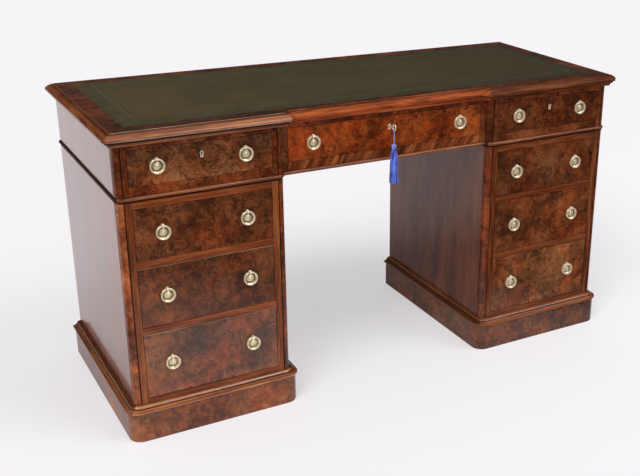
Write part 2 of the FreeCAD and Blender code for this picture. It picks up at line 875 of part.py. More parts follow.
def lock_pieces(label, x, front):
    """Escutcheon and lock case; the bolt is a node of its own."""
    back = f"{front} + Size.front_thickness"
    case_front = f"{back} - Size.lock_depth"
    inlay_end = f"{front} + Size.escutcheon_depth"
    past_front = f"{front} - Size.cut_overrun"
    past_inlay = f"{inlay_end} + Size.cut_overrun"
    escutcheon = cut(
        f"{label}_escutcheon",
        keyhole_shape(f"{label}_escutcheon_blank", x, front, inlay_end, "Size.escutcheon_wall"),
        [keyhole_shape(f"{label}_escutcheon_hole", x, past_front, past_inlay, "0")],
    )
    room = "Size.bolt_clearance"
    case = block(
        f"{label}_lock_blank",
        (f"{x} - Size.lock_width / 2", f"{x} + Size.lock_width / 2"),
        (case_front, back),
        ("Place.lock_top - Size.lock_height", "Place.lock_top"),
    )
    chamber = round_bar(
        f"{label}_chamber",
        "Size.key_chamber_radius",
        "Size.lock_depth - Size.lock_back_plate + Size.cut_overrun",
        x,
        f"{case_front} - Size.cut_overrun",
        "Place.keyhole",
    )
    channel = block(
        f"{label}_channel",
        *bolt_spans(x, front, room),
        (f"Place.bolt_bottom - {room}", "Place.lock_top + Size.cut_overrun"),
    )
    node(f"{label}_lock_bolt", [block(
        f"{label}_lock_bolt",
        *bolt_spans(x, front, "0"),
        ("Place.bolt_bottom", "Place.bolt_top"),
    )])
    return [escutcheon, cut(f"{label}_lock_case", case, [chamber, channel])]


def drawer(label, side, middle, front, width, bottom, top, spacing, locked):
    """A drawer: front, box, fixed brasses and its two rings."""
    low = f"{bottom} + Size.front_gap"
    high = f"{top} - Size.front_gap"
    left = f"{middle} - {width} / 2"
    right = f"{middle} + {width} / 2"
    board = "Size.drawer_side_thickness"
    behind = f"{front} + Size.front_thickness"
    side_height = (low, f"{high} - Size.drawer_side_drop")
    floor = f"{low} + Size.drawer_bottom_lift"
    plate_height = f"(({low}) + ({high})) / 2"
    x = f"{side} * ({middle})"
    pulls = {
        f"{label}_1": f"{x} - {spacing} / 2",
        f"{label}_2": f"{x} + {spacing} / 2",
    }
    holes = [stem_hole(name, spot, front, plate_height) for name, spot in pulls.items()]
    if locked:
        holes += lock_cuts(label, x, front)
    blank = block(f"{label}_front_blank", (left, right), (front, behind), (low, high), side)
    node(f"{label}_drawer_front", [cut(f"{label}_drawer_front", blank, holes)])
    inside = (f"{left} + {board}", f"{right} - {board}")
    run = (behind, "Place.box_back")
    node(f"{label}_drawer_box", [
        block(f"{label}_side_in", (left, inside[0]), run, side_height, side),
        block(f"{label}_side_out", (inside[1], right), run, side_height, side),
        block(
            f"{label}_box_back",
            inside,
            (f"Place.box_back - {board}", "Place.box_back"),
            (f"{floor} + Size.drawer_bottom_thickness", f"{high} - Size.drawer_back_drop"),
            side,
        ),
        block(
            f"{label}_box_bottom",
            inside,
            run,
            (floor, f"{floor} + Size.drawer_bottom_thickness"),
            side,
        ),
    ])
    brasses = []
    for name, spot in pulls.items():
        brasses += ring_pull(name, spot, front, plate_height)
    if locked:
        brasses += lock_pieces(label, x, front)
    node(f"{label}_drawer_brasses", brasses)


drawer(
    "centre",
    1,
    "0",
    "Place.centre_front",
    "Place.centre_front_width",
    "Place.frieze_bottom",
    "Place.frieze_top",
    "Place.centre_pull_spacing",
    True,
)
for side, name in side_names.items():
    drawer(
        f"{name}_frieze",
        side,
        "Place.bay_centre",
        "Place.front",
        "Place.frieze_front_width",
        "Place.frieze_bottom",
        "Place.frieze_top",
        "Place.frieze_pull_spacing",
        True,
    )
    for row in ("upper", "middle", "lower"):
        drawer(
            f"{name}_{row}",
            side,
            "Place.bay_centre",
            "Place.front",
            "Place.pedestal_front_width",
            f"Place.{row}_bottom",
            f"Place.{row}_top",
            "Place.pedestal_pull_spacing",
            False,
        )

# Key in the centre lock, with its tassel.
key_end = "Place.centre_front + Size.front_thickness - Size.lock_back_plate - Size.key_end_room"
shank_start = "Place.bow_middle + Size.key_bow_radius"
shank_length = f"{key_end} - ({shank_start})"
node("key", [fuse("key", [
    round_bar("key_shank", "Size.key_shank_radius", shank_length, "0", shank_start, "Place.keyhole"),
    round_bar(
        "key_collar",
        "Size.key_collar_radius",
        "Size.key_collar_length",
        "0",
        "Place.bow_middle + Place.bow_outside",
        "Place.keyhole",
    ),
    block(
        "key_bit",
        ("-Size.key_bit_thickness / 2", "Size.key_bit_thickness / 2"),
        (f"{key_end} - Size.key_bit_width", key_end),
        ("Place.keyhole - Size.key_bit_reach", "Place.keyhole"),
    ),
    wire_ring(
        "key_bow",
        "Size.key_bow_radius",
        "Size.key_bow_wire_radius",
        "0",
        "Place.bow_middle",
        "Place.keyhole",
        (1, 0, 0),
    ),
])])

node("tassel_cord", [round_bar(
    "tassel_cord",
    "Size.cord_diameter / 2",
    "Size.cord_length",
    "0",
    "Place.bow_middle",
    "Place.cord_end",
    along=(0, 0, 1),
)])

head = doc.addObject("Part::Sphere", "tassel_head")
head.setExpression("Radius", "Size.tassel_head_radius")
head.setExpression("Angle2", "Size.tassel_crown_degrees")
put(head, "0", "Place.bow_middle", "Place.head_middle")
neck = round_bar(
    "tassel_neck",
    "Size.tassel_neck_radius",
    "Size.tassel_neck_height",
    "0",
    "Place.bow_middle",
    "Place.skirt_top - Size.tassel_neck_height / 2",
    along=(0, 0, 1),
)
skirt = doc.addObject("Part::Cone", "tassel_skirt")
skirt.setExpression("Radius1", "Size.tassel_skirt_end_radius")
skirt.setExpression("Radius2", "Size.tassel_skirt_top_radius")
skirt.setExpression("Height", "Size.tassel_skirt_length")
put(skirt, "0", "Place.bow_middle", "Place.skirt_top - Size.tassel_skirt_length")
node("tassel", [fuse("tassel", [head, neck, skirt])])

# Every object is checked before anything is written.
doc.recompute()
for item in doc.Objects:
    if "Invalid" in item.State or "Error" in item.State:
        raise RuntimeError(f"{item.Label} did not build: {item.State}")
    if hasattr(item, "Shape") and (item.Shape.isNull() or not item.Shape.isValid()):
        raise RuntimeError(f"{item.Label} has no valid shape")
for item in nodes:
    item.Shape.exportStep(f"parts/{item.Label}.step")
print(len(nodes), "sub-parts written")
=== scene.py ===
import math
import random

import bmesh
import bpy
from mathutils import Matrix, Vector


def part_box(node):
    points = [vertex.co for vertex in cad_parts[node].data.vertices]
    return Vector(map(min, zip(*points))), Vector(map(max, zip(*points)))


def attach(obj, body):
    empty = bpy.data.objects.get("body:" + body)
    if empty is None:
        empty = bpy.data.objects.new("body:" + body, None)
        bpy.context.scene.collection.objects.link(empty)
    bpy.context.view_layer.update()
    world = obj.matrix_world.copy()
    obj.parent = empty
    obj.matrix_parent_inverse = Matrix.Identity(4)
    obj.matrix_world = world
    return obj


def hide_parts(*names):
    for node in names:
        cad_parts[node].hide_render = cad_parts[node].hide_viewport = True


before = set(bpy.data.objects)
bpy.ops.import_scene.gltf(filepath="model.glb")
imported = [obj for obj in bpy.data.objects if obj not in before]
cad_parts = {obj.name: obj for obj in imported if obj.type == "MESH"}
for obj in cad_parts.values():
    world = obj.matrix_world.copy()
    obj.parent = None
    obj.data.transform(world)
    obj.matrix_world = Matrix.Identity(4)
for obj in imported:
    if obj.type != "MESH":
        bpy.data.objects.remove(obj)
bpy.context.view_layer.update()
bpy.context.scene.view_settings.view_transform = "Standard"
mm = 0.001
print("frame loaded", len(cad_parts), "nodes")


# camera, from the edges and corners of the photographed desk
camera = {
    "at": (-1.2261, -2.4454, 1.3814),
    "panDeg": -31.797,
    "tiltDeg": 69.065,
    "rollDeg": 1.383,
    "lens": 56.90,
    "sensor": 36.0,
    "shift": (-0.1730, -0.0131),
    "clipEnd": 200,
}


def addCamera():
    data = bpy.data.cameras.new("photoCamera")
    data.lens = camera["lens"]
    data.sensor_width = camera["sensor"]
    data.sensor_fit = "HORIZONTAL"
    data.shift_x, data.shift_y = camera["shift"]
    data.clip_end = camera["clipEnd"]
    obj = bpy.data.objects.new("photoCamera", data)
    bpy.context.scene.collection.objects.link(obj)
    turn = Matrix.Rotation(math.radians(camera["panDeg"]), 4, "Z")
    turn = turn @ Matrix.Rotation(math.radians(camera["tiltDeg"]), 4, "X")
    turn = turn @ Matrix.Rotation(math.radians(camera["rollDeg"]), 4, "Z")
    obj.matrix_world = Matrix.Translation(camera["at"]) @ turn
    bpy.context.scene.camera = obj


addCamera()
print("camera set")


# small helpers for shader trees
def newTree(name):
    material = bpy.data.materials.new(name)
    material.use_nodes = True
    tree = material.node_tree
    return material, tree, tree.nodes["Principled BSDF"]


def put(tree, kind, settings=None, **inputs):
    node = tree.nodes.new(kind)
    for key, value in (settings or {}).items():
        setattr(node, key, value)
    for key, value in inputs.items():
        wire(tree, node, key, value)
    return node


def wire(tree, node, key, value):
    socket = node.inputs[int(key[2:])] if key.startswith("at") else node.inputs[key.replace("_", " ")]
    if isinstance(value, bpy.types.NodeSocket):
        tree.links.new(value, socket)
    else:
        socket.default_value = value


def noise(tree, vector, scale, detail=2.0, roughness=0.5, distortion=0.0):
    return put(tree, "ShaderNodeTexNoise", Vector=vector, Scale=scale, Detail=detail,
               Roughness=roughness, Distortion=distortion)


def math2(tree, operation, a, b=0.0):
    return put(tree, "ShaderNodeMath", {"operation": operation}, at0=a, at1=b).outputs[0]


def stretch(tree, vector, factors):
    return put(tree, "ShaderNodeVectorMath", {"operation": "MULTIPLY"}, at0=vector, at1=factors).outputs[0]


def fade(tree, value, low, high, toLow=0.0, toHigh=1.0):
    return put(tree, "ShaderNodeMapRange", {"interpolation_type": "SMOOTHSTEP"}, Value=value, From_Min=low,
               From_Max=high, To_Min=toLow, To_Max=toHigh).outputs[0]


def ramp(tree, value, stops):
    node = put(tree, "ShaderNodeValToRGB", Fac=value)
    elements = node.color_ramp.elements
    while len(elements) < len(stops):
        elements.new(0.5)
    for element, (place, colour) in zip(elements, stops):
        element.position = place
        element.color = (*colour, 1)
    return node.outputs["Color"]


def mixColour(tree, factor, a, b, blend="MIX"):
    node = put(tree, "ShaderNodeMix", {"data_type": "RGBA", "blend_type": blend}, at0=factor)
    for key, value in (("at6", a), ("at7", b)):
        wire(tree, node, key, value if isinstance(value, bpy.types.NodeSocket) else (*value, 1))
    return node.outputs[2]


def bump(tree, height, strength, distance, shader):
    node = put(tree, "ShaderNodeBump", Strength=strength, Distance=distance, Height=height)
    tree.links.new(node.outputs["Normal"], shader.inputs["Normal"])


def grainVector(tree):
    return put(tree, "ShaderNodeAttribute", {"attribute_name": "grain"}).outputs["Vector"]


def addUp(tree, values, shares):
    total = 0.0
    for value, share in zip(values, shares):
        total = math2(tree, "ADD", math2(tree, "MULTIPLY", value, share), total)
    return total


def setGloss(tree, shader, mask, low, high, run=(0.3, 0.7)):
    tree.links.new(fade(tree, mask, *run, low, high), shader.inputs["Roughness"])


# burr walnut: curled figure, dark eyes and cloudy patches under polish
def burrWalnut(name, look):
    material, tree, shader = newTree(name)
    at = grainVector(tree)
    warp = noise(tree, at, look["warpScale"], 3, 0.55).outputs["Color"]
    warped = put(tree, "ShaderNodeVectorMath", {"operation": "MULTIPLY_ADD"}, at0=warp,
                 at1=(look["warp"],) * 3, at2=at).outputs[0]
    cloud = noise(tree, at, look["cloudScale"], 2.5, 0.55).outputs["Fac"]
    figure = noise(tree, warped, look["figureScale"], 6, 0.6, 0.8).outputs["Fac"]
    curl = noise(tree, warped, look["curlScale"], 5, 0.62, 2.2).outputs["Fac"]
    pores = noise(tree, stretch(tree, warped, look["poreStretch"]), look["poreScale"], 2, 0.6).outputs["Fac"]
    tone = fade(tree, addUp(tree, (figure, curl, cloud, pores), look["shares"]), *look["toneRun"])
    stops = [(0.0, look["dark"]), (0.33, look["brown"]), (0.62, look["warm"]), (1.0, look["light"])]
    colour = ramp(tree, tone, stops)
    redGate = fade(tree, noise(tree, at, look["redScale"], 2, 0.5, 0.6).outputs["Fac"], *look["redRun"])
    colour = mixColour(tree, redGate, colour, stretch(tree, colour, look["redTint"]))
    lines = noise(tree, warped, look["veinScale"], 3, 0.55, 1.4).outputs["Fac"]
    off = math2(tree, "ABSOLUTE", math2(tree, "SUBTRACT", lines, 0.5))
    veinGate = fade(tree, noise(tree, at, look["veinPatch"], 1.5).outputs["Fac"], *look["veinRun"])
    veinMask = math2(tree, "MULTIPLY", fade(tree, off, *look["veinWidth"], look["veinDepth"], 0.0), veinGate)
    colour = mixColour(tree, veinMask, colour, look["vein"])
    eyes = put(tree, "ShaderNodeTexVoronoi", {"feature": "F1"}, Vector=warped, Scale=look["eyeScale"],
               Randomness=1.0)
    eyeSpot = fade(tree, eyes.outputs["Distance"], *look["eyeSize"], 1.0, 0.0)
    eyeGate = fade(tree, noise(tree, at, look["eyePatch"], 1).outputs["Fac"], *look["eyeRun"])
    eyeMask = math2(tree, "MULTIPLY", math2(tree, "MULTIPLY", eyeSpot, eyeGate), look["eyeDepth"])
    colour = mixColour(tree, eyeMask, colour, look["eye"])
    tree.links.new(colour, shader.inputs["Base Color"])
    setGloss(tree, shader, cloud, look["gloss"], look["gloss"] + look["dulling"])
    shader.inputs["IOR"].default_value = look["ior"]
    shader.inputs["Specular IOR Level"].default_value = look["shine"]
    bump(tree, math2(tree, "ADD", curl, pores), look["relief"], look["reliefDepth"], shader)
    return material


# straight-grained walnut: streaks and pores along the first grain axis
def straightWalnut(name, look):
    material, tree, shader = newTree(name)
    at = grainVector(tree)
    long = stretch(tree, at, (look["along"], 1, 1))
    longer = stretch(tree, at, (look["along"] * look["broadAlong"], 1, 1))
    streak = noise(tree, long, look["streakScale"], 6, 0.62, 0.4).outputs["Fac"]
    broad = noise(tree, longer, look["broadScale"], 3, 0.5, 0.9).outputs["Fac"]
    pores = noise(tree, stretch(tree, at, look["poreStretch"]), look["poreScale"], 2, 0.6).outputs["Fac"]
    tone = fade(tree, addUp(tree, (streak, broad), look["shares"]), *look["toneRun"])
    colour = ramp(tree, tone, [(0.0, look["dark"]), (0.45, look["warm"]), (1.0, look["light"])])
    poreMask = fade(tree, pores, *look["poreRun"], look["poreDepth"], 0.0)
    colour = mixColour(tree, poreMask, colour, look["pore"])
    tree.links.new(colour, shader.inputs["Base Color"])
    setGloss(tree, shader, broad, look["gloss"], look["gloss"] + look["dulling"])
    shader.inputs["IOR"].default_value = look["ior"]
    shader.inputs["Specular IOR Level"].default_value = look["shine"]
    shader.inputs["Coat Weight"].default_value = look["coat"]
    shader.inputs["Coat Roughness"].default_value = look["coatGloss"]
    bump(tree, math2(tree, "ADD", streak, pores), look["relief"], look["reliefDepth"], shader)
    return material


burrLook = {
    "warpScale": 24, "warp": 0.05, "cloudScale": 9, "figureScale": 46, "curlScale": 120,
    "poreScale": 900, "poreStretch": (0.35, 1, 1),
    "shares": (0.62, 0.40, 0.58, 0.08), "toneRun": (0.545, 1.115),    # of figure, curl, cloud and pores
    "redScale": 10, "redRun": (0.42, 0.66), "redTint": (1.30, 0.94, 0.58),
    "veinScale": 32.2, "veinPatch": 17, "veinRun": (0.40, 0.62), "veinWidth": (0.006, 0.034),
    "veinDepth": 0.8,
    "eyeScale": 110, "eyePatch": 24, "eyeRun": (0.5, 0.66), "eyeSize": (0.12, 0.34), "eyeDepth": 0.7,
    "dark": (0.021, 0.0057, 0.0018), "brown": (0.071, 0.018, 0.0040), "warm": (0.152, 0.040, 0.0082),
    "light": (0.265, 0.086, 0.022), "eye": (0.022, 0.007, 0.003), "vein": (0.030, 0.008, 0.0025),
    "gloss": 0.20, "dulling": 0.08, "shine": 0.44, "ior": 1.56, "relief": 0.12, "reliefDepth": 0.0004,
}
friezeLook = dict(burrLook, shine=0.32, brown=(0.078, 0.017, 0.0036), warm=(0.178, 0.039, 0.0075),
                  light=(0.29, 0.082, 0.020))
centreLook = dict(burrLook, shine=0.25, dark=(0.036, 0.008, 0.0018), brown=(0.115, 0.0205, 0.0022),
                  warm=(0.228, 0.0420, 0.0042), light=(0.34, 0.082, 0.012))
plinthLook = dict(burrLook, brown=(0.088, 0.024, 0.0065), warm=(0.185, 0.053, 0.0135),
                  light=(0.30, 0.105, 0.032))
postLook = dict(friezeLook, dark=(0.016, 0.0042, 0.0014), brown=(0.056, 0.0125, 0.0028),
                warm=(0.130, 0.029, 0.0060), light=(0.22, 0.062, 0.0155))
pedestalPostLook = dict(friezeLook, dark=(0.024, 0.0058, 0.0018), brown=(0.078, 0.0165, 0.0038),
                        warm=(0.165, 0.038, 0.0085), light=(0.27, 0.080, 0.021))
# painted reflection: a lighter copy of the post burr for the outer left post
litPostLook = dict(pedestalPostLook, warm=(0.165, 0.045, 0.0125), light=(0.27, 0.094, 0.030))
topLook = dict(burrLook, dark=(0.014, 0.004, 0.0016), brown=(0.046, 0.0122, 0.0035),
               warm=(0.102, 0.0265, 0.0070), light=(0.18, 0.056, 0.0155), gloss=0.26)
railLook = {
    "along": 0.06, "streakScale": 170, "broadScale": 26, "broadAlong": 2.2,
    "shares": (0.8, 0.75), "toneRun": (0.5, 1.05),                    # of streaks and broad bands
    "poreScale": 1300, "poreStretch": (0.03, 1, 1), "poreRun": (0.36, 0.47), "poreDepth": 0.55,
    "dark": (0.088, 0.0175, 0.0038), "warm": (0.195, 0.0410, 0.0085), "light": (0.32, 0.085, 0.020),
    "pore": (0.036, 0.009, 0.003), "gloss": 0.20, "dulling": 0.08, "shine": 0.3, "ior": 1.54,
    "coat": 0.0, "coatGloss": 0.1, "relief": 0.1, "reliefDepth": 0.0003,
}
stileLook = dict(railLook, dark=(0.074, 0.0158, 0.0037), warm=(0.190, 0.0440, 0.0102),
                 light=(0.35, 0.102, 0.027))
mouldLook = dict(railLook, dark=(0.078, 0.0175, 0.0040), warm=(0.198, 0.0490, 0.0112),
                 light=(0.36, 0.112, 0.029))
# painted shade: a darker copy of the moulding for its side runs
sideMouldLook = dict(railLook, dark=(0.036, 0.0105, 0.0034), warm=(0.088, 0.0260, 0.0080),
                     light=(0.160, 0.054, 0.018))
# painted shade: a dark line down in the plinth moulding's hollow
hollowShadeLook = dict(railLook, dark=(0.022, 0.0062, 0.0019), warm=(0.046, 0.0130, 0.0038),
                  light=(0.078, 0.023, 0.0068), gloss=0.45, shine=0.05)
thumbLook = dict(mouldLook, shine=0.15)
dullMouldLook = dict(mouldLook, shine=0.08)
redMouldLook = dict(dullMouldLook, dark=(0.10, 0.0205, 0.0046), warm=(0.38, 0.070, 0.0140),
                    light=(0.66, 0.165, 0.040))
# painted highlight: a pale colour on the left plinth's lip and bead, under a real clear coat
beadHighlightLook = dict(railLook, dark=(0.16, 0.060, 0.022), warm=(0.34, 0.140, 0.056), light=(0.52, 0.27, 0.13),
                  coat=1.0, shine=0.8)
bandLook = dict(railLook, streakScale=95, broadScale=34, dark=(0.045, 0.0105, 0.0025),
                warm=(0.150, 0.0320, 0.0062), light=(0.38, 0.105, 0.022), shine=0.25)
# painted highlight: a pale colour on the top arris of two drawer fronts and on the left front edge of the top
arrisHighlightLook = dict(railLook, dark=(0.20, 0.125, 0.078), warm=(0.31, 0.210, 0.140), light=(0.44, 0.32, 0.23))
sideLook = dict(railLook, along=0.09, streakScale=58, broadScale=6.5, dark=(0.068, 0.0145, 0.0055),
                warm=(0.170, 0.0355, 0.0130), light=(0.27, 0.069, 0.0270), gloss=0.19, relief=0.04,
                coat=0.58, shine=0.5)
innerLook = dict(sideLook, along=0.22, streakScale=20, broadScale=5.0, dark=(0.058, 0.0135, 0.0050),
                 warm=(0.124, 0.0320, 0.0116), light=(0.194, 0.058, 0.022), coat=0.10, shine=0.30)
# painted shade: near-black walnut for the sole gap under the bead, the post quirks, the bead's side runs and
# the top's coves
paintedShadeLook = dict(railLook, dark=(0.014, 0.005, 0.0022), warm=(0.030, 0.0105, 0.0042),
                  light=(0.052, 0.019, 0.0075), gloss=0.5, shine=0.12)
oakLook = dict(railLook, dark=(0.22, 0.115, 0.048), warm=(0.36, 0.205, 0.092), light=(0.46, 0.285, 0.138),
               pore=(0.13, 0.065, 0.027), gloss=0.5, relief=0.35)
paleLook = dict(burrLook, brown=(0.072, 0.0225, 0.0072), warm=(0.150, 0.0490, 0.0140),
                light=(0.26, 0.102, 0.034))
lowLook = dict(burrLook, shine=0.60)                           # mirrors more of the pale floor

# each drawer has its own leaf of veneer; the other woods get a tone for their place, which is painted light
# and shade
leafTones = {
    "left_upper": (burrLook, 1.10), "left_middle": (burrLook, 0.80), "left_lower": (lowLook, 1.18),
    "right_upper": (burrLook, 0.80), "right_middle": (burrLook, 1.04), "right_lower": (paleLook, 1.26),
    "left_frieze": (paleLook, 1.30), "centre": (centreLook, 1.12), "right_frieze": (friezeLook, 0.72),
}
edgeTones = {                                                  # the top's front edge and its far end: lit and shaded copies, painted light and shade
    "left": (dict(mouldLook, shine=0.55), 1.25), "centre": (redMouldLook, 0.88),
    "right": (dullMouldLook, 0.62), "far": (dullMouldLook, 0.30),
}
# the plinth moulding's side runs band by band: lit and shaded copies, painted light and shade
sideMouldTones = {
    ("left", "cove"): 2.0, ("left", "lip"): 1.6, ("left", "bead"): 0.75,
    ("right", "cove"): 0.75, ("right", "lip"): 1.9, ("right", "bead"): 2.2,
}
# painted light and shade: the right pedestal's plinth, rails and stiles darker, the outer left post and the
# left plinth's front cove lighter, the top's front border and the thumb's upward top darker
placeTones = {
    "plinth": {"left": 1.06, "right": 0.74}, "rails": {"left": 1.0, "right": 0.72},
    "stiles": {"left": 1.0, "right": 0.70}, "fadedPost": 1.7, "frontBorder": 0.68, "cove": 1.3, "thumb": 0.50,
}


def toned(look, tone, parts=("brown", "warm", "light")):
    return dict(look, **{part: tuple(tone * level for level in look[part]) for part in parts})


def streaked(name, look, tone):
    return straightWalnut(name, toned(look, tone, ("dark", "warm", "light")))


leaves = {drawer: burrWalnut(drawer + "_leaf", toned(look, tone))
          for drawer, (look, tone) in leafTones.items()}
highlightedLeaves = [leaves["left_middle"], leaves["left_lower"]]
friezeBurr = burrWalnut("friezeBurr", friezeLook)
plinthBurr = {side: burrWalnut(side + "_plinthBurr", toned(plinthLook, tone))
              for side, tone in placeTones["plinth"].items()}
postBurr = burrWalnut("postBurr", postLook)
pedestalPost = burrWalnut("pedestalPost", pedestalPostLook)
fadedPost = burrWalnut("fadedPost", toned(litPostLook, placeTones["fadedPost"]))
topBurr = burrWalnut("topBurr", topLook)
frontBorder = burrWalnut("frontBorder", toned(topLook, placeTones["frontBorder"]))
railWalnut = {side: streaked(side + "_rails", railLook, tone) for side, tone in placeTones["rails"].items()}
stileWalnut = {side: streaked(side + "_stiles", stileLook, tone)
               for side, tone in placeTones["stiles"].items()}
bandWalnut = straightWalnut("crossbanding", bandLook)
wornEdge = straightWalnut("wornEdge", arrisHighlightLook)
mouldWalnut = straightWalnut("mouldWalnut", mouldLook)
sideMould = {run: streaked("_".join(run), sideMouldLook, tone) for run, tone in sideMouldTones.items()}
coveMould = streaked("coveMould", mouldLook, placeTones["cove"])
hollowMould = straightWalnut("hollowMould", hollowShadeLook)
thumbMould = streaked("thumbMould", thumbLook, placeTones["thumb"])
edgeMould = {part: streaked(part + "_edge", look, tone) for part, (look, tone) in edgeTones.items()}
rubbedMould = straightWalnut("rubbedMould", beadHighlightLook)
sideWalnut = straightWalnut("sideWalnut", sideLook)
innerWalnut = straightWalnut("innerWalnut", innerLook)
paintedShade = straightWalnut("waxedRecess", paintedShadeLook)
oak = straightWalnut("waxedOak", oakLook)
print("woods ready")


metalSkin = {
    "patchScale": 240, "patchRun": (0.30, 0.58), "gloss": (0.36, 0.2), "glossRun": (0.35, 0.7),
    "scratchScale": 2600, "scratchStretch": (1, 1, 0.2), "scratch": 0.06, "scratchDepth": 0.0001,
    "hollowReach": 0.004, "hollowRun": (0.35, 0.92), "hollowDepth": 0.85,
}


# cast and worn metal: dull and bright patches, patina down in the hollows
def metal(name, look):
    material, tree, shader = newTree(name)
    at = put(tree, "ShaderNodeTexCoord").outputs["Object"]
    patch = noise(tree, at, metalSkin["patchScale"], 4, 0.6).outputs["Fac"]
    along = stretch(tree, at, metalSkin["scratchStretch"])
    scratch = noise(tree, along, metalSkin["scratchScale"], 2, 0.5).outputs["Fac"]
    colour = mixColour(tree, fade(tree, patch, *metalSkin["patchRun"]), look["dull"], look["bright"])
    hollow = put(tree, "ShaderNodeAmbientOcclusion", {"samples": 6, "only_local": True},
                 Distance=metalSkin["hollowReach"]).outputs["AO"]
    patina = fade(tree, hollow, *metalSkin["hollowRun"], metalSkin["hollowDepth"], 0.0)
    colour = mixColour(tree, patina, colour, look["patina"])
    tree.links.new(colour, shader.inputs["Base Color"])
    setGloss(tree, shader, patch, *metalSkin["gloss"], metalSkin["glossRun"])
    shader.inputs["Metallic"].default_value = look["metallic"]
    bump(tree, scratch, metalSkin["scratch"], metalSkin["scratchDepth"], shader)
    return material


brass = metal("paleBrass", {
    "bright": (0.95, 0.81, 0.58), "dull": (0.72, 0.57, 0.36), "patina": (0.18, 0.11, 0.05), "metallic": 0.52})
darkBrass = metal("patinaBrass", {
    "bright": (0.34, 0.26, 0.12), "dull": (0.19, 0.135, 0.055), "patina": (0.06, 0.04, 0.018),
    "metallic": 0.5})
rimBrass = metal("rimBrass", {
    "bright": (1.0, 0.90, 0.72), "dull": (0.90, 0.76, 0.55), "patina": (0.90, 0.76, 0.55), "metallic": 0.15})
# painted shade: the lock case near black, as the dark inside the keyhole
lockBrass = metal("lockBrass", {
    "bright": (0.060, 0.045, 0.020), "dull": (0.030, 0.022, 0.010), "patina": (0.008, 0.006, 0.003),
    "metallic": 0.5})
steel = metal("wornSteel", {
    "bright": (0.62, 0.60, 0.56), "dull": (0.36, 0.34, 0.31), "patina": (0.08, 0.07, 0.06), "metallic": 0.85})


leather = {
    "field": ((0.052, 0.0385, 0.0128), (0.068, 0.0475, 0.0155)), "fieldRun": (-0.004, 0.03),
    "rim": ((0.044, 0.0370, 0.0134), (0.056, 0.0455, 0.0175)), "faded": (1.10, 0.66),
    "line": (0.105, 0.085, 0.040), "lineInset": 0.040, "lineWidth": 0.0035, "lineCore": 0.35,
    "cloudScale": 3.2, "mottleScale": 38, "pebbleScale": 620, "beatScale": 160,
    "gloss": (0.48, 0.6), "shine": 0.32, "pebbleDepth": 0.5, "lineDepth": -0.8, "relief": 0.22,
    "crease": 0.0006,
}


# hide: fine pebbled grain, a worn browner field, a tooled line inside the edge, and painted shade from the
# left end falling off darker towards the right end
def greenHide(name, half):
    material, tree, shader = newTree(name)
    at = put(tree, "ShaderNodeTexCoord").outputs["Object"]
    parts = put(tree, "ShaderNodeSeparateXYZ", Vector=at)
    reach = []
    for axis, limit in (("X", half[0]), ("Y", half[1])):
        reach.append(math2(tree, "SUBTRACT", limit, math2(tree, "ABSOLUTE", parts.outputs[axis])))
    inset = math2(tree, "MINIMUM", reach[0], reach[1])
    cloud = noise(tree, at, leather["cloudScale"], 4, 0.6).outputs["Fac"]
    mottle = noise(tree, at, leather["mottleScale"], 4, 0.6).outputs["Fac"]
    pebble = put(tree, "ShaderNodeTexVoronoi", {"feature": "SMOOTH_F1"}, Vector=at,
                 Scale=leather["pebbleScale"], Smoothness=0.4)
    field = mixColour(tree, fade(tree, cloud, 0.35, 0.65), *leather["field"])
    rim = mixColour(tree, fade(tree, mottle, 0.35, 0.7), *leather["rim"])
    fieldRun = [leather["lineInset"] + step for step in leather["fieldRun"]]
    colour = mixColour(tree, fade(tree, inset, *fieldRun), rim, field)
    # painted shade: lighter at the left end, falling off to darker at the right end
    faded = fade(tree, parts.outputs["X"], -half[0], half[0], *leather["faded"])
    colour = put(tree, "ShaderNodeVectorMath", {"operation": "SCALE"}, at0=colour, Scale=faded).outputs[0]
    offLine = math2(tree, "ABSOLUTE", math2(tree, "SUBTRACT", inset, leather["lineInset"]))
    core = leather["lineWidth"] * leather["lineCore"]
    line = fade(tree, offLine, core, leather["lineWidth"], 1.0, 0.0)
    beat = noise(tree, at, leather["beatScale"], 2).outputs["Fac"]
    lineMask = math2(tree, "MULTIPLY", line, fade(tree, beat, 0.3, 0.6, 0.25, 0.6))
    colour = mixColour(tree, lineMask, colour, leather["line"])
    tree.links.new(colour, shader.inputs["Base Color"])
    setGloss(tree, shader, mottle, *leather["gloss"])
    shader.inputs["Specular IOR Level"].default_value = leather["shine"]
    height = addUp(tree, (line, pebble.outputs["Distance"]), (leather["lineDepth"], leather["pebbleDepth"]))
    bump(tree, height, leather["relief"], leather["crease"], shader)
    return material


silkWeave = {
    "scale": 250, "stretch": (1, 1, 0.05), "run": (0.41, 0.59), "gloss": 0.5,
    "sheen": 0.15, "sheenGloss": 0.35, "relief": 0.3, "depth": 0.0003,
}


def blueSilk(name, dark, light):
    material, tree, shader = newTree(name)
    at = put(tree, "ShaderNodeTexCoord").outputs["Object"]
    shade = noise(tree, stretch(tree, at, silkWeave["stretch"]), silkWeave["scale"], 3, 0.6).outputs["Fac"]
    colour = mixColour(tree, fade(tree, shade, *silkWeave["run"]), dark, light)
    tree.links.new(colour, shader.inputs["Base Color"])
    shader.inputs["Roughness"].default_value = silkWeave["gloss"]
    shader.inputs["Sheen Weight"].default_value = silkWeave["sheen"]
    shader.inputs["Sheen Roughness"].default_value = silkWeave["sheenGloss"]
    bump(tree, shade, silkWeave["relief"], silkWeave["depth"], shader)
    return material


silk = blueSilk("cobaltSilk", (0.007, 0.015, 0.17), (0.155, 0.235, 0.88))
paleSilk = blueSilk("paleSilk", (0.10, 0.15, 0.58), (0.36, 0.44, 0.92))
cordSilk = blueSilk("lilacSilk", (0.085, 0.095, 0.36), (0.38, 0.37, 0.64))
print("finishes ready")


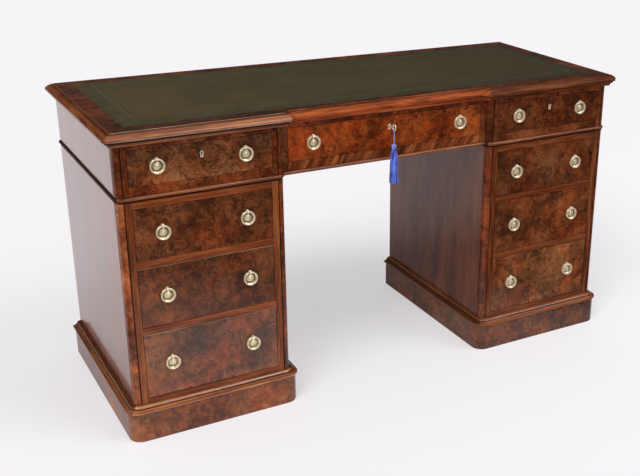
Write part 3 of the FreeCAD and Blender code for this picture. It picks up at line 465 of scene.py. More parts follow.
weld = {"fine": 1e6, "coarse": 1e5, "reach": 2e-6, "flatDeg": 0.6, "bevelProfile": 0.5}


# solids of a node: its triangles come solid by solid, so one ends where no edge is left open
def nodeSolids(nodeName):
    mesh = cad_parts[nodeName].data
    key = [tuple(round(c * weld["fine"]) for c in v.co) for v in mesh.vertices]
    solids, faces, openEdges = [], [], set()
    for polygon in mesh.polygons:
        ring = [key[i] for i in polygon.vertices]
        faces.append([mesh.vertices[i].co.copy() for i in polygon.vertices])
        for a, b in zip(ring, ring[1:] + ring[:1]):
            if (b, a) in openEdges:
                openEdges.remove((b, a))
            elif a != b:
                openEdges.add((a, b))
        if not openEdges:
            solids.append(faces)
            faces = []
    if faces:
        solids.append(faces)
    return solids


# solids of a node that don't touch each other: triangles that share a corner belong together
def looseSolids(nodeName):
    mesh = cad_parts[nodeName].data
    spots = [tuple(round(c * weld["coarse"]) for c in v.co) for v in mesh.vertices]
    links = {}
    for polygon in mesh.polygons:
        first = spots[polygon.vertices[0]]
        for i in polygon.vertices:
            links.setdefault(first, set()).add(spots[i])
            links.setdefault(spots[i], set()).add(first)
    group = {}
    for spot in links:
        waiting = [spot] if spot not in group else []
        while waiting:
            near = waiting.pop()
            if near not in group:
                group[near] = spot
                waiting.extend(links[near])
    solids = {}
    for polygon in mesh.polygons:
        corners = [mesh.vertices[i].co.copy() for i in polygon.vertices]
        solids.setdefault(group[spots[polygon.vertices[0]]], []).append(corners)
    return list(solids.values())


def solidMesh(faces):
    shape = bmesh.new()
    for face in faces:
        shape.faces.new([shape.verts.new(point) for point in face])
    bmesh.ops.remove_doubles(shape, verts=shape.verts, dist=weld["reach"])
    bmesh.ops.dissolve_degenerate(shape, edges=shape.edges, dist=weld["reach"])
    return shape


def extent(shape):
    low = Vector([min(v.co[i] for v in shape.verts) for i in range(3)])
    high = Vector([max(v.co[i] for v in shape.verts) for i in range(3)])
    return low, high


def softenEdges(shape, width, shortest=0.0, segments=2, angleDeg=38):
    bmesh.ops.dissolve_limit(shape, angle_limit=math.radians(weld["flatDeg"]), verts=shape.verts,
                             edges=shape.edges)
    sharp = [e for e in shape.edges if len(e.link_faces) == 2 and e.calc_length() > shortest
             and e.calc_face_angle(0) > math.radians(angleDeg)]
    bmesh.ops.bevel(shape, geom=sharp, offset=width, offset_type="OFFSET", segments=segments,
                    profile=weld["bevelProfile"], affect="EDGES", clamp_overlap=True)


# the grain attribute holds metres along the grain first, moved apart so that no two boards match
grainWays = {"x": (1, 0, 0), "y": (0, 1, 0), "z": (0, 0, 1), "slant": (0.5, 0, 0.87)}
grainSpread = 9


def grainTurn(along):
    first = Vector(grainWays[along]).normalized()
    second = Vector((0, 1, 0)) if along != "y" else Vector((1, 0, 0))
    return Matrix((first, second, first.cross(second)))


def grainShift(seed):
    spread = random.Random(seed)
    return Vector([spread.uniform(-grainSpread, grainSpread) for axis in range(3)])


class Piece:
    def __init__(self, name):
        self.name = name
        self.points, self.faces, self.grains, self.slots = [], [], [], []
        self.materials = []

    # regions of a solid: (material, grain way, seed) and the faces that have them
    def addRegions(self, shape, regions):
        placed = {}
        for (material, along, seed), faces in regions.items():
            if material not in self.materials:
                self.materials.append(material)
            turn, shift = grainTurn(along), grainShift(seed)
            for face in faces:
                for vert in face.verts:
                    if vert not in placed:
                        placed[vert] = len(self.points)
                        self.points.append(vert.co.copy())
                    self.grains.append(turn @ vert.co + shift)
                self.faces.append([placed[vert] for vert in face.verts])
                self.slots.append(self.materials.index(material))
        shape.free()

    def add(self, shape, material, along="x", seed=""):
        self.addRegions(shape, {(material, along, seed): shape.faces})

    def finish(self, body, slotName, nodes, smoothDeg=36, weighted=True):
        mesh = bpy.data.meshes.new(self.name)
        mesh.from_pydata(self.points, [], self.faces)
        layer = mesh.attributes.new("grain", "FLOAT_VECTOR", "CORNER")
        layer.data.foreach_set("vector", [c for grain in self.grains for c in grain])
        for material in self.materials:
            mesh.materials.append(material)
        mesh.polygons.foreach_set("material_index", self.slots)
        mesh.polygons.foreach_set("use_smooth", [True] * len(self.faces))
        mesh.set_sharp_from_angle(angle=math.radians(smoothDeg))
        mesh.update()
        obj = bpy.data.objects.new(self.name, mesh)
        bpy.context.scene.collection.objects.link(obj)
        if weighted:
            modifier = obj.modifiers.new("evenShading", "WEIGHTED_NORMAL")
            modifier.keep_sharp = True
        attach(obj, body)
        if nodes:
            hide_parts(*nodes)
        return obj


# boards are told apart by their sizes and places
boards = {
    "deep": 0.3, "sideHigh": 0.08, "sideThick": 0.03, "slideWide": 0.045, "slideHigh": 0.03,
    "postCorners": 16, "postWide": 0.03, "postHigh": 0.1, "fadedPost": -0.6, "bayMiddle": 0.502,
    "soleTop": 0.614, "beadTop": 0.623, "backFrom": 0.2, "bandLong": 0.5, "bandTop": 0.7, "railLong": 0.2,
    "panelWide": 0.3, "panelDeep": 0.4, "kneeThick": 0.05, "kneeReach": 0.31, "plinthFoot": 0.01,
}
joinery = {
    "edge": 0.0009, "frontEdge": 0.0012, "holeFacet": 0.006, "arrisTilt": 0.25, "quirk": 0.0027,
    "quirkLip": 0.0004, "quirkDepth": 0.0031, "quirkFloor": 0.0034, "postReach": 0.0176, "postSide": 0.0178,
}


# grain runs along the longest way, but ends and sides stand upright
def boardGrain(low, high):
    size = high - low
    if size.y > boards["deep"] and size.z > boards["sideHigh"] and size.x < boards["sideThick"]:
        return "z"
    return "xyz"[max(range(3), key=lambda i: size[i])]


def isSlide(low, high):
    size = high - low
    return size.y > boards["deep"] and size.x < boards["slideWide"] and size.z < boards["slideHigh"]


def isPost(shape):
    low, high = extent(shape)
    size = high - low
    slender = size.x < boards["postWide"] and size.z > boards["postHigh"]
    return slender and len(shape.verts) > boards["postCorners"]


def friezeBoard(shape, low, high):
    size = high - low
    if isSlide(low, high):
        return oak, "y"
    if high.z < boards["soleTop"]:                             # the sole between frieze and pedestal, near black as painted shade
        return paintedShade, "y"
    if high.z < boards["beadTop"]:                             # nosed bead boards
        return mouldWalnut, "x"
    if low.y > boards["backFrom"] or size.y > boards["deep"]:  # back, ends, partitions
        return sideWalnut, "z"
    if size.x > boards["bandLong"] and high.z < boards["bandTop"]:    # crossbanded centre rail
        return bandWalnut, "slant"
    if size.x > boards["railLong"]:
        return friezeBurr, "x"
    return postBurr, "z"


def carcassBoard(shape, low, high):
    size = high - low
    if isSlide(low, high) or (size.x > boards["panelWide"] and size.y > boards["panelDeep"]):
        return oak, "y"
    facesKnees = size.x < boards["kneeThick"] and min(abs(low.x), abs(high.x)) < boards["kneeReach"]
    return (innerWalnut if facesKnees else sideWalnut), "z"


def sideOf(low):
    return "left" if low.x < 0 else "right"


def frameBoard(shape, low, high):
    if isPost(shape):
        # the outer left post takes the lighter copy, painted reflection
        return (fadedPost if low.x < boards["fadedPost"] else pedestalPost), "z"
    along = boardGrain(low, high)
    return (stileWalnut if along == "z" else railWalnut)[sideOf(low)], along


def plinthBoard(shape, low, high):
    return (plinthBurr[sideOf(low)] if low.z < boards["plinthFoot"] else mouldWalnut), "x"


def allOf(material, along=None):
    return lambda shape, low, high: (material, along or boardGrain(low, high))


# faces down in a post's quirk get painted shade
def inQuirk(face, low, high):
    middle = face.calc_center_median()
    outward = 1 if low.x + high.x > 0 else -1
    bayMiddle = outward * boards["bayMiddle"]
    baySide = low.x if abs(low.x - bayMiddle) < abs(high.x - bayMiddle) else high.x
    outSide = high.x if baySide == low.x else low.x
    depth, wide = middle.y - low.y, joinery["quirk"]
    byStile = abs(middle.x - baySide) < wide and joinery["quirkLip"] < depth < joinery["quirkFloor"]
    sideFloor = abs(middle.x - outSide) < joinery["quirkDepth"]
    return byStile or (sideFloor and joinery["postReach"] - wide < depth < joinery["postSide"])


def onTopArris(face):
    return face.normal.z > joinery["arrisTilt"] and face.normal.y < -joinery["arrisTilt"]


# mouldings run round a front and two sides, mitred at the corners
def onSide(face, low, high):
    middle = face.calc_center_median()
    return min(middle.x - low.x, high.x - middle.x) < middle.y - low.y


# heights on the plinth moulding, from its lip up to the bead
plinthRun = {
    "lipFoot": 0.0785, "lipTop": 0.0812, "hollowFoot": 0.0850, "hollowTop": 0.0875, "shoulder": 0.0898,
    "ledgeTilt": 0.96,
}
plinthCuts = ("lipFoot", "lipTop", "hollowFoot", "hollowTop", "shoulder")


# painted light and shade: the bead's side runs under the frieze near black, a dark line in the hollow, the
# side runs in lit and shaded copies band by band, and on the left front a lighter cove with painted
# highlights on its lip and bead
def mouldRegion(face, low, high):
    side = onSide(face, low, high)
    if low.z > plinthRun["shoulder"]:                          # under the frieze
        return paintedShade if side else mouldWalnut
    height = face.calc_center_median().z
    if plinthRun["hollowFoot"] < height < plinthRun["hollowTop"]:
        return hollowMould
    onLip = plinthRun["lipFoot"] < height < plinthRun["lipTop"]
    onBead = height > plinthRun["shoulder"]
    if side:
        return sideMould[sideOf(low), "lip" if onLip else "bead" if onBead else "cove"]
    if low.x > 0:
        return mouldWalnut
    onLedge = face.normal.z > plinthRun["ledgeTilt"]
    return rubbedMould if onLip or onBead and not onLedge else coveMould


# mitres and level lines at which one finish meets the next
def cutAcross(shape, spot, way):
    parts = shape.verts[:] + shape.edges[:] + shape.faces[:]
    bmesh.ops.bisect_plane(shape, geom=parts, plane_co=spot, plane_no=Vector(way))


# faces are taken by place, because a cut leaves them in another order each run
def facePlace(face):
    return sorted(tuple(vert.co) for vert in face.verts)


def sortFaces(shape, choose):
    regions = {}
    for face in sorted(shape.faces, key=facePlace):
        regions.setdefault(choose(face), []).append(face)
    return regions


def dressBoards(nodeName, choose, body, slotName, edge=joinery["edge"]):
    piece = Piece(nodeName + "_wood")
    for number, faces in enumerate(nodeSolids(nodeName)):
        shape = solidMesh(faces)
        low, high = extent(shape)
        plain = (*choose(shape, low, high), f"{nodeName}{number}")
        post, veneered = isPost(shape), plain[0] in leaves.values()
        softenEdges(shape, edge, joinery["holeFacet"] if veneered else 0.0)
        if post:
            # painted shade in the quirks
            dark = (paintedShade, *plain[1:])
            piece.addRegions(shape, sortFaces(
                shape, lambda face: dark if inQuirk(face, low, high) else plain))
        elif plain[0] in highlightedLeaves:                         # painted highlight along the top arris
            highlighted = (wornEdge, *plain[1:])
            piece.addRegions(shape, sortFaces(shape, lambda face: highlighted if onTopArris(face) else plain))
        elif plain[0] is mouldWalnut and high.y - low.y > boards["deep"]:
            cutAcross(shape, (low.x, low.y, 0), (1, -1, 0))
            cutAcross(shape, (high.x, low.y, 0), (1, 1, 0))
            for height in plinthCuts:
                cutAcross(shape, (0, 0, plinthRun[height]), (0, 0, 1))
            piece.addRegions(shape, sortFaces(shape, lambda face: (
                mouldRegion(face, low, high), "y" if onSide(face, low, high) else "x", plain[2])))
        else:
            piece.add(shape, *plain)
    return piece.finish(body, slotName, [nodeName])


dressBoards("frieze_case", friezeBoard, "desk", "walnut")
for side in ("left", "right"):
    dressBoards(side + "_pedestal_carcass", carcassBoard, "desk", "walnut")
    dressBoards(side + "_pedestal_frame", frameBoard, "desk", "walnut")
    dressBoards(side + "_plinth", plinthBoard, "desk", "burr_walnut")
drawers = [name[:-len("_drawer_front")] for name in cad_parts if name.endswith("_drawer_front")]
for drawer in sorted(drawers):
    body = drawer + "_drawer"
    dressBoards(body + "_front", allOf(leaves[drawer], "x"), body, "burr_walnut", joinery["frontEdge"])
    dressBoards(body + "_box", allOf(oak), body, "oak")


# the top: a dark veneered border inside, moulded edges mitred at the corners
top = {
    "edge": 0.0010, "borderFloor": 0.7738, "borderTilt": 0.99, "coveTop": 0.7578, "coveFoot": 0.7515,
    "coveTilt": 0.999, "thumbTilt": 0.95, "setBack": 0.30, "rubLow": 0.7600, "rubHigh": 0.7727,
}


def edgePart(x):
    if abs(x) < top["setBack"]:
        return "centre"
    return "left" if x < 0 else "right"


# painted light and shade: a darker front border, painted shade in the coves except along the lit centre and
# right front, lit and shaded copies of the edge by part, painted highlights on the left edge's arrises, and a
# darker upward top on the thumb
def topRegion(face, halfX, halfY):
    middle = face.calc_center_median()
    atEnd = halfX - abs(middle.x) < halfY - abs(middle.y)
    atFront = middle.y < 0 and not atEnd
    if face.normal.z > top["borderTilt"] and middle.z > top["borderFloor"]:
        return (frontBorder if atFront else topBurr), ("x" if atEnd else "y"), "border" + str(atEnd)
    part = edgePart(middle.x) if atFront else "far" if atEnd and middle.x > 0 else None
    if top["coveFoot"] < middle.z < top["coveTop"] and abs(face.normal.z) < top["coveTilt"]:
        lit = part in ("centre", "right")
        return (edgeMould[part] if lit else paintedShade), ("y" if atEnd else "x"), "cove" + str(atEnd)
    material = edgeMould.get(part, mouldWalnut)
    # painted highlights on the left edge's lower thumb and upper arris
    if part == "left" and (top["coveTop"] < middle.z < top["rubLow"] or middle.z > top["rubHigh"]):
        material = wornEdge
    if face.normal.z > top["thumbTilt"]:
        material = thumbMould
    return material, ("y" if atEnd else "x"), "mould" + str(atEnd)


def dressTop():
    shape = solidMesh(nodeSolids("top_board")[0])
    low, high = extent(shape)
    softenEdges(shape, top["edge"])
    for signX in (-1, 1):
        for signY in (-1, 1):
            cutAcross(shape, (signX * high.x, signY * high.y, 0), (signX, -signY, 0))
    for height in (top["rubLow"], top["rubHigh"]):
        cutAcross(shape, (0, 0, height), (0, 0, 1))
    piece = Piece("top_board_wood")
    piece.addRegions(shape, sortFaces(shape, lambda face: topRegion(face, high.x, high.y)))
    return piece.finish("desk", "walnut", ["top_board"])


dressTop()
print("joinery dressed")

# hide
low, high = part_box("writing_leather")
hide = greenHide("oliveHide", (high.x, high.y))
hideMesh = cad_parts["writing_leather"].data
hideMesh.materials.clear()
hideMesh.materials.append(hide)


# geometry node trees are built from named inputs
def newNodeTree(name, inputs):
    tree = bpy.data.node_groups.new(name, "GeometryNodeTree")
    tree.interface.new_socket("Geometry", in_out="OUTPUT", socket_type="NodeSocketGeometry")
    for label, kind in inputs.items():
        tree.interface.new_socket(label, in_out="INPUT", socket_type=kind)
    return tree, tree.nodes.new("NodeGroupInput").outputs, tree.nodes.new("NodeGroupOutput")


def finishTree(tree, geometry, finish, result):
    done = put(tree, "GeometryNodeSetMaterial", Geometry=geometry, Material=finish)
    tree.links.new(done.outputs["Geometry"], result.inputs["Geometry"])
    return tree


def grow(tree, values):
    holder = bpy.data.objects.new(tree.name, bpy.data.meshes.new(tree.name))
    bpy.context.scene.collection.objects.link(holder)
    modifier = holder.modifiers.new("grow", "NODES")
    modifier.node_group = tree
    for item in tree.interface.items_tree:
        if item.in_out == "INPUT":
            modifier[item.identifier] = values[item.name]
    graph = bpy.context.evaluated_depsgraph_get()
    mesh = bpy.data.meshes.new_from_object(holder.evaluated_get(graph))
    bpy.data.objects.remove(holder)
    return mesh


def addMesh(piece, mesh, material, shift):
    shape = bmesh.new()
    shape.from_mesh(mesh)
    bmesh.ops.translate(shape, verts=shape.verts, vec=Vector(shift))
    piece.add(shape, material)


# turned work: a profile of (radius, height) points spun about the line through its foot
def turned(profile, steps, axis="z"):
    shape = bmesh.new()
    rings = []
    for radius, height in profile:
        ring = []
        for step in range(steps if radius > 0 else 1):
            angle = math.tau * step / steps
            across, up = radius * math.cos(angle), radius * math.sin(angle)
            ring.append(shape.verts.new((across, up, height) if axis == "z" else (across, -height, up)))
        rings.append(ring)
    for lower, upper in zip(rings, rings[1:]):
        for step in range(steps):
            quad = [lower[step % len(lower)], lower[(step + 1) % len(lower)],
                    upper[(step + 1) % len(upper)], upper[step % len(upper)]]
            corners = list(dict.fromkeys(quad))
            if len(corners) > 2:
                shape.faces.new(corners)
    bmesh.ops.recalc_face_normals(shape, faces=shape.faces)
    return shape


pull = {
    "steps": 56, "radius": 17.0 * mm, "eyeAbove": 16.25 * mm, "earReach": 4.3 * mm, "plateShare": 1.9,
    "ringRadius": 16.25 * mm, "wire": 1.75 * mm, "ringSteps": 72, "wireSteps": 16,
    "hollow": (8.7 * mm, 14.1 * mm), "fittingsReach": 0.030, "rimDepth": 0.002,
}
plateProfile = [
    (0, 3.6), (1.5, 3.55), (2.8, 3.2), (3.6, 2.6), (4.2, 2.1), (4.8, 2.0), (5.6, 2.35), (6.6, 2.55),
    (7.6, 2.35), (8.4, 1.8), (9.0, 1.1), (9.6, 0.85), (11.5, 0.8), (13.2, 0.85), (13.9, 1.1), (14.5, 1.6),
    (15.2, 2.1), (16.0, 2.3), (16.6, 2.1), (17.0, 1.6), (17.0, 0.0), (0, 0.0),
]
earProfile = [(0, 3.0), (2.3, 2.95), (3.3, 2.6), (3.9, 2.1), (4.2, 1.5), (4.2, 0.0), (0, 0.0)]


def platesTree():
    tree, inputs, result = newNodeTree("pullPlates", {
        "Left": "NodeSocketVector", "Right": "NodeSocketVector", "Plate": "NodeSocketObject",
        "Finish": "NodeSocketMaterial"})
    line = put(tree, "GeometryNodeMeshLine", {"mode": "END_POINTS"}, Count=2, Start_Location=inputs["Left"])
    wire(tree, line, "Offset", inputs["Right"])
    source = put(tree, "GeometryNodeObjectInfo", Object=inputs["Plate"])
    spots = put(tree, "GeometryNodeInstanceOnPoints", Points=line.outputs["Mesh"],
                Instance=source.outputs["Geometry"])
    whole = put(tree, "GeometryNodeRealizeInstances", Geometry=spots.outputs["Instances"])
    return finishTree(tree, whole.outputs["Geometry"], inputs["Finish"], result)


def ringTree():
    tree, inputs, result = newNodeTree("wireRing", {
        "Radius": "NodeSocketFloat", "Wire": "NodeSocketFloat", "Finish": "NodeSocketMaterial"})
    circle = "GeometryNodeCurvePrimitiveCircle"
    loop = put(tree, circle, Resolution=pull["ringSteps"], Radius=inputs["Radius"])
    section = put(tree, circle, Resolution=pull["wireSteps"], Radius=inputs["Wire"])
    tube = put(tree, "GeometryNodeCurveToMesh", Curve=loop.outputs["Curve"],
               Profile_Curve=section.outputs["Curve"])
    stood = put(tree, "GeometryNodeTransform", Geometry=tube.outputs["Mesh"], Rotation=(math.pi / 2, 0, 0))
    whole = put(tree, "GeometryNodeRealizeInstances", Geometry=stood.outputs["Geometry"])
    return finishTree(tree, whole.outputs["Geometry"], inputs["Finish"], result)


def plateSource():
    shape = turned([(r * mm, h * mm) for r, h in plateProfile], pull["steps"], "y")
    ear = turned([(r * mm, h * mm) for r, h in earProfile], pull["steps"] // 2, "y")
    bmesh.ops.translate(ear, verts=ear.verts, vec=(0, 0, pull["eyeAbove"]))
    earMesh = bpy.data.meshes.new("stampedEar")
    ear.to_mesh(earMesh)
    ear.free()
    shape.from_mesh(earMesh)
    mesh = bpy.data.meshes.new("stampedPlate")
    shape.to_mesh(mesh)
    shape.free()
    obj = bpy.data.objects.new("stampedPlate", mesh)
    bpy.context.scene.collection.objects.link(obj)
    return obj


def middleOf(nodeName):
    low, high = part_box(nodeName)
    return (Vector(low) + Vector(high)) / 2


def awayFrom(middle, place, above=0.0):
    return math.hypot(middle.x - place.x, middle.z - place.z - above)


def plateFinish(part, places):
    middle = part.calc_center_median()
    inner, outer = pull["hollow"]
    inHollow = inner < min(awayFrom(middle, place) for place in places) < outer
    onEar = min(awayFrom(middle, place, pull["eyeAbove"]) for place in places) < pull["earReach"]
    return darkBrass if inHollow and not onEar else brass


# lock fittings sit away from the pulls: a rim let into the front and the case behind it, painted near black
# as the shade inside the keyhole
def fittingFinish(low, high, face, spots):
    across = (low.x + high.x) / 2
    if min(abs(across - spot.x) for spot in spots) < pull["fittingsReach"]:
        return brass
    return rimBrass if low.y < face + pull["rimDepth"] else lockBrass


def dressBrasses(drawer, tree, plate, ringMesh):
    nodeName, body = drawer + "_drawer_brasses", drawer + "_drawer"
    piece = Piece(drawer + "_brass")
    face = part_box(drawer + "_drawer_front")[0][1]
    spots = [middleOf(f"{drawer}_{number}_ring") for number in (1, 2)]
    places = [Vector((spot.x, face, spot.z)) for spot in spots]
    shape = bmesh.new()
    shape.from_mesh(grow(tree, {"Left": places[0], "Right": places[1], "Plate": plate, "Finish": brass}))
    piece.addRegions(shape, sortFaces(shape, lambda part: (plateFinish(part, places), "x", "")))
    for faces in looseSolids(nodeName):
        shape = solidMesh(faces)
        low, high = extent(shape)
        plateWide = pull["plateShare"] * pull["radius"]
        isPlate = high.x - low.x > plateWide and high.z - low.z > plateWide and low.y < face
        if isPlate and min(abs((low.x + high.x) / 2 - spot.x) for spot in spots) < mm:    # drawn above
            shape.free()
        else:
            piece.add(shape, fittingFinish(low, high, face, spots))
    piece.finish(body, "brass", [nodeName], weighted=False)
    for number, spot in zip((1, 2), spots):
        ring = Piece(f"{drawer}_{number}_ringWire")
        addMesh(ring, ringMesh, brass, spot)
        ring.finish(f"{drawer}_{number}_ring", "brass", [f"{drawer}_{number}_ring"], weighted=False)


plate = plateSource()
plates = platesTree()
ringMesh = grow(ringTree(), {"Radius": pull["ringRadius"], "Wire": pull["wire"], "Finish": brass})
for drawer in sorted(drawers):
    dressBrasses(drawer, plates, plate, ringMesh)
bpy.data.objects.remove(plate)


lock = {"keyEdge": 0, "boltEdge": 0.0004}


def dressMetal(nodeName, body, slotName, material, edge):
    piece = Piece(nodeName + "_metal")
    for faces in nodeSolids(nodeName):
        shape = solidMesh(faces)
        if edge:
            softenEdges(shape, edge)
        piece.add(shape, material)
    return piece.finish(body, slotName, [nodeName], weighted=False)


dressMetal("key", "key", "brass", brass, lock["keyEdge"])
for name in [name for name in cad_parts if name.endswith("_lock_bolt")]:
    dressMetal(name, name, "steel", steel, lock["boltEdge"])
print("brass fitted")


# tassel: a twisted cord from the key bow, a bound head and a skirt of loose threads
tassel = {
    "cord": [(0.0, -0.2800, 0.6953), (0.0003, -0.2801, 0.6800), (0.0, -0.2800, 0.6613)],
    "cordLength": 0.034, "cordWidth": 0.0034, "cordSteps": 24, "plies": 3, "twist": 0.0095, "plySides": 10,
    "loopMiddle": 0.6971, "loopRadius": 0.00275, "loopWire": 0.0009,
    "headMiddle": 0.6551, "headRadius": 0.0066, "headSteps": 12, "ribs": 14, "ribDepth": 0.06,
    "neckRadius": 0.0043, "neckTop": 0.6515, "neckFoot": 0.6472, "neckSteps": 40,
    "bindings": 4, "bindingWire": 0.00065, "bindingFoot": 0.6476, "bindingPitch": 1.9,
    "skirtTop": 0.6492, "skirtEnd": 0.5570, "topRadius": 0.0042, "endRadius": 0.0108, "flare": 0.34,
    "threads": 130, "threadRadius": 0.00062, "threadSteps": 14, "threadSides": 5, "trim": (0.955, 1.0),
    "goldenAngle": 2.39996, "sway": 0.0034, "swayScale": (420, 420, 55), "seed": 7,
}


def cordLine():
    data = bpy.data.curves.new("cordLine", "CURVE")
    data.dimensions = "3D"
    spline = data.splines.new("NURBS")
    spline.points.add(len(tassel["cord"]) - 1)
    for point, spot in zip(spline.points, tassel["cord"]):
        point.co = (*spot, 1)
    spline.order_u = 3
    spline.use_endpoint_u = True
    data.resolution_u = tassel["cordSteps"]
    obj = bpy.data.objects.new("cordLine", data)
    bpy.context.scene.collection.objects.link(obj)
    mesh = bpy.data.meshes.new_from_object(obj.evaluated_get(bpy.context.evaluated_depsgraph_get()))
    points = [v.co.copy() for v in mesh.vertices]
    bpy.data.objects.remove(obj)
    return points


def sweep(shape, points, radius, sides):
    rings, angles = [], [math.tau * step / sides for step in range(sides)]
    for spot, after in zip(points, points[1:] + [points[-1] * 2 - points[-2]]):
        way = (after - spot).normalized()
        across = (across - way * across.dot(way)).normalized() if rings else way.orthogonal().normalized()
        up = way.cross(across)
        rings.append([shape.verts.new(spot + radius * (across * math.cos(angle) + up * math.sin(angle)))
                      for angle in angles])
    for lower, upper in zip(rings, rings[1:]):
        for s in range(sides):
            shape.faces.new([lower[s], lower[(s + 1) % sides], upper[(s + 1) % sides], upper[s]])
    shape.faces.new(rings[0][::-1])
    shape.faces.new(rings[-1])


def twistedCord(line):
    shape = bmesh.new()
    ply = tassel["cordWidth"] / 2 / (1 + 2 / math.sqrt(3))
    offset = tassel["cordWidth"] / 2 - ply
    for number in range(tassel["plies"]):
        path, run = [], 0.0
        for index, spot in enumerate(line):
            run += (spot - line[index - 1]).length if index else 0.0
            angle = math.tau * (run / tassel["twist"] + number / tassel["plies"])
            path.append(spot + offset * Vector((math.cos(angle), math.sin(angle), 0)))
        sweep(shape, path, ply, tassel["plySides"])
    bmesh.ops.recalc_face_normals(shape, faces=shape.faces)
    return shape


def threadsTree():
    tree, inputs, result = newNodeTree("tasselThreads", {
        "Threads": "NodeSocketInt", "Top": "NodeSocketFloat", "Spread": "NodeSocketFloat",
        "Length": "NodeSocketFloat", "Thread": "NodeSocketFloat", "Seed": "NodeSocketInt",
        "Finish": "NodeSocketMaterial"})
    number = put(tree, "GeometryNodeInputIndex").outputs["Index"]
    angle = math2(tree, "MULTIPLY", number, tassel["goldenAngle"])
    share = math2(tree, "DIVIDE", math2(tree, "ADD", number, 0.5), inputs["Threads"])
    reach = math2(tree, "MULTIPLY", math2(tree, "SQRT", share), inputs["Top"])
    spot = put(tree, "ShaderNodeCombineXYZ", X=math2(tree, "MULTIPLY", math2(tree, "COSINE", angle), reach),
               Y=math2(tree, "MULTIPLY", math2(tree, "SINE", angle), reach)).outputs["Vector"]
    points = put(tree, "GeometryNodePoints", Count=inputs["Threads"], Position=spot)
    drop = put(tree, "ShaderNodeCombineXYZ", Z=math2(tree, "MULTIPLY", inputs["Length"], -1.0))
    line = put(tree, "GeometryNodeCurvePrimitiveLine", End=drop.outputs["Vector"])
    fine = put(tree, "GeometryNodeResampleCurve", Curve=line.outputs["Curve"], Count=tassel["threadSteps"])
    section = put(tree, "GeometryNodeCurvePrimitiveCircle", Resolution=tassel["threadSides"],
                  Radius=inputs["Thread"])
    thread = put(tree, "GeometryNodeCurveToMesh", Curve=fine.outputs["Curve"],
                 Profile_Curve=section.outputs["Curve"], Fill_Caps=True)
    trim = put(tree, "FunctionNodeRandomValue", {"data_type": "FLOAT"}, Seed=inputs["Seed"])
    trim.inputs[2].default_value, trim.inputs[3].default_value = tassel["trim"]
    size = put(tree, "ShaderNodeCombineXYZ", X=1.0, Y=1.0, Z=trim.outputs[1]).outputs["Vector"]
    hung = put(tree, "GeometryNodeInstanceOnPoints", Points=points.outputs[0],
               Instance=thread.outputs["Mesh"], Scale=size)
    whole = put(tree, "GeometryNodeRealizeInstances", Geometry=hung.outputs["Instances"])
    at = put(tree, "GeometryNodeInputPosition").outputs["Position"]
    parts = put(tree, "ShaderNodeSeparateXYZ", Vector=at)
    depth = math2(tree, "DIVIDE", math2(tree, "MULTIPLY", parts.outputs["Z"], -1.0), inputs["Length"])
    flare = math2(tree, "MULTIPLY", math2(tree, "POWER", depth, tassel["flare"]), inputs["Spread"])
    out = put(tree, "ShaderNodeCombineXYZ", X=flare, Y=flare).outputs["Vector"]
    splay = stretch(tree, at, out)
    sway = put(tree, "ShaderNodeTexNoise", {"noise_dimensions": "3D"}, Scale=1.0, Detail=1.0,
               Vector=stretch(tree, at, tassel["swayScale"]))
    wave = put(tree, "ShaderNodeVectorMath", {"operation": "SUBTRACT"}, at0=sway.outputs["Color"],
               at1=(0.5, 0.5, 0.5)).outputs[0]
    swing = math2(tree, "MULTIPLY", depth, tassel["sway"])
    lean = put(tree, "ShaderNodeCombineXYZ", X=swing, Y=swing).outputs["Vector"]
    wander = put(tree, "ShaderNodeVectorMath", {"operation": "MULTIPLY_ADD"}, at0=wave, at1=lean,
                 at2=splay).outputs[0]
    shaped = put(tree, "GeometryNodeSetPosition", Geometry=whole.outputs["Geometry"], Offset=wander)
    return finishTree(tree, shaped.outputs["Geometry"], inputs["Finish"], result)


def ribbedHead():
    radius, steps, ribs = tassel["headRadius"], tassel["headSteps"], tassel["ribs"]
    turns = [math.pi * step / steps for step in range(steps + 1)]
    profile = [(radius * math.sin(turn), tassel["headMiddle"] - radius * math.cos(turn)) for turn in turns]
    profile[0] = (0, profile[0][1])
    profile[-1] = (0, profile[-1][1])
    head = turned(profile, 4 * ribs)
    for vert in head.verts:
        flat = Vector((vert.co.x, vert.co.y, 0))
        groove = 1 - tassel["ribDepth"] * (0.5 + 0.5 * math.cos(ribs * math.atan2(flat.y, flat.x)))
        vert.co.x, vert.co.y = flat.x * groove, flat.y * groove
    return head


def boundNeck():
    radius, foot, crown = tassel["neckRadius"], tassel["neckFoot"], tassel["neckTop"]
    return turned([(0, foot), (radius, foot), (radius, crown), (0, crown)], tassel["neckSteps"])


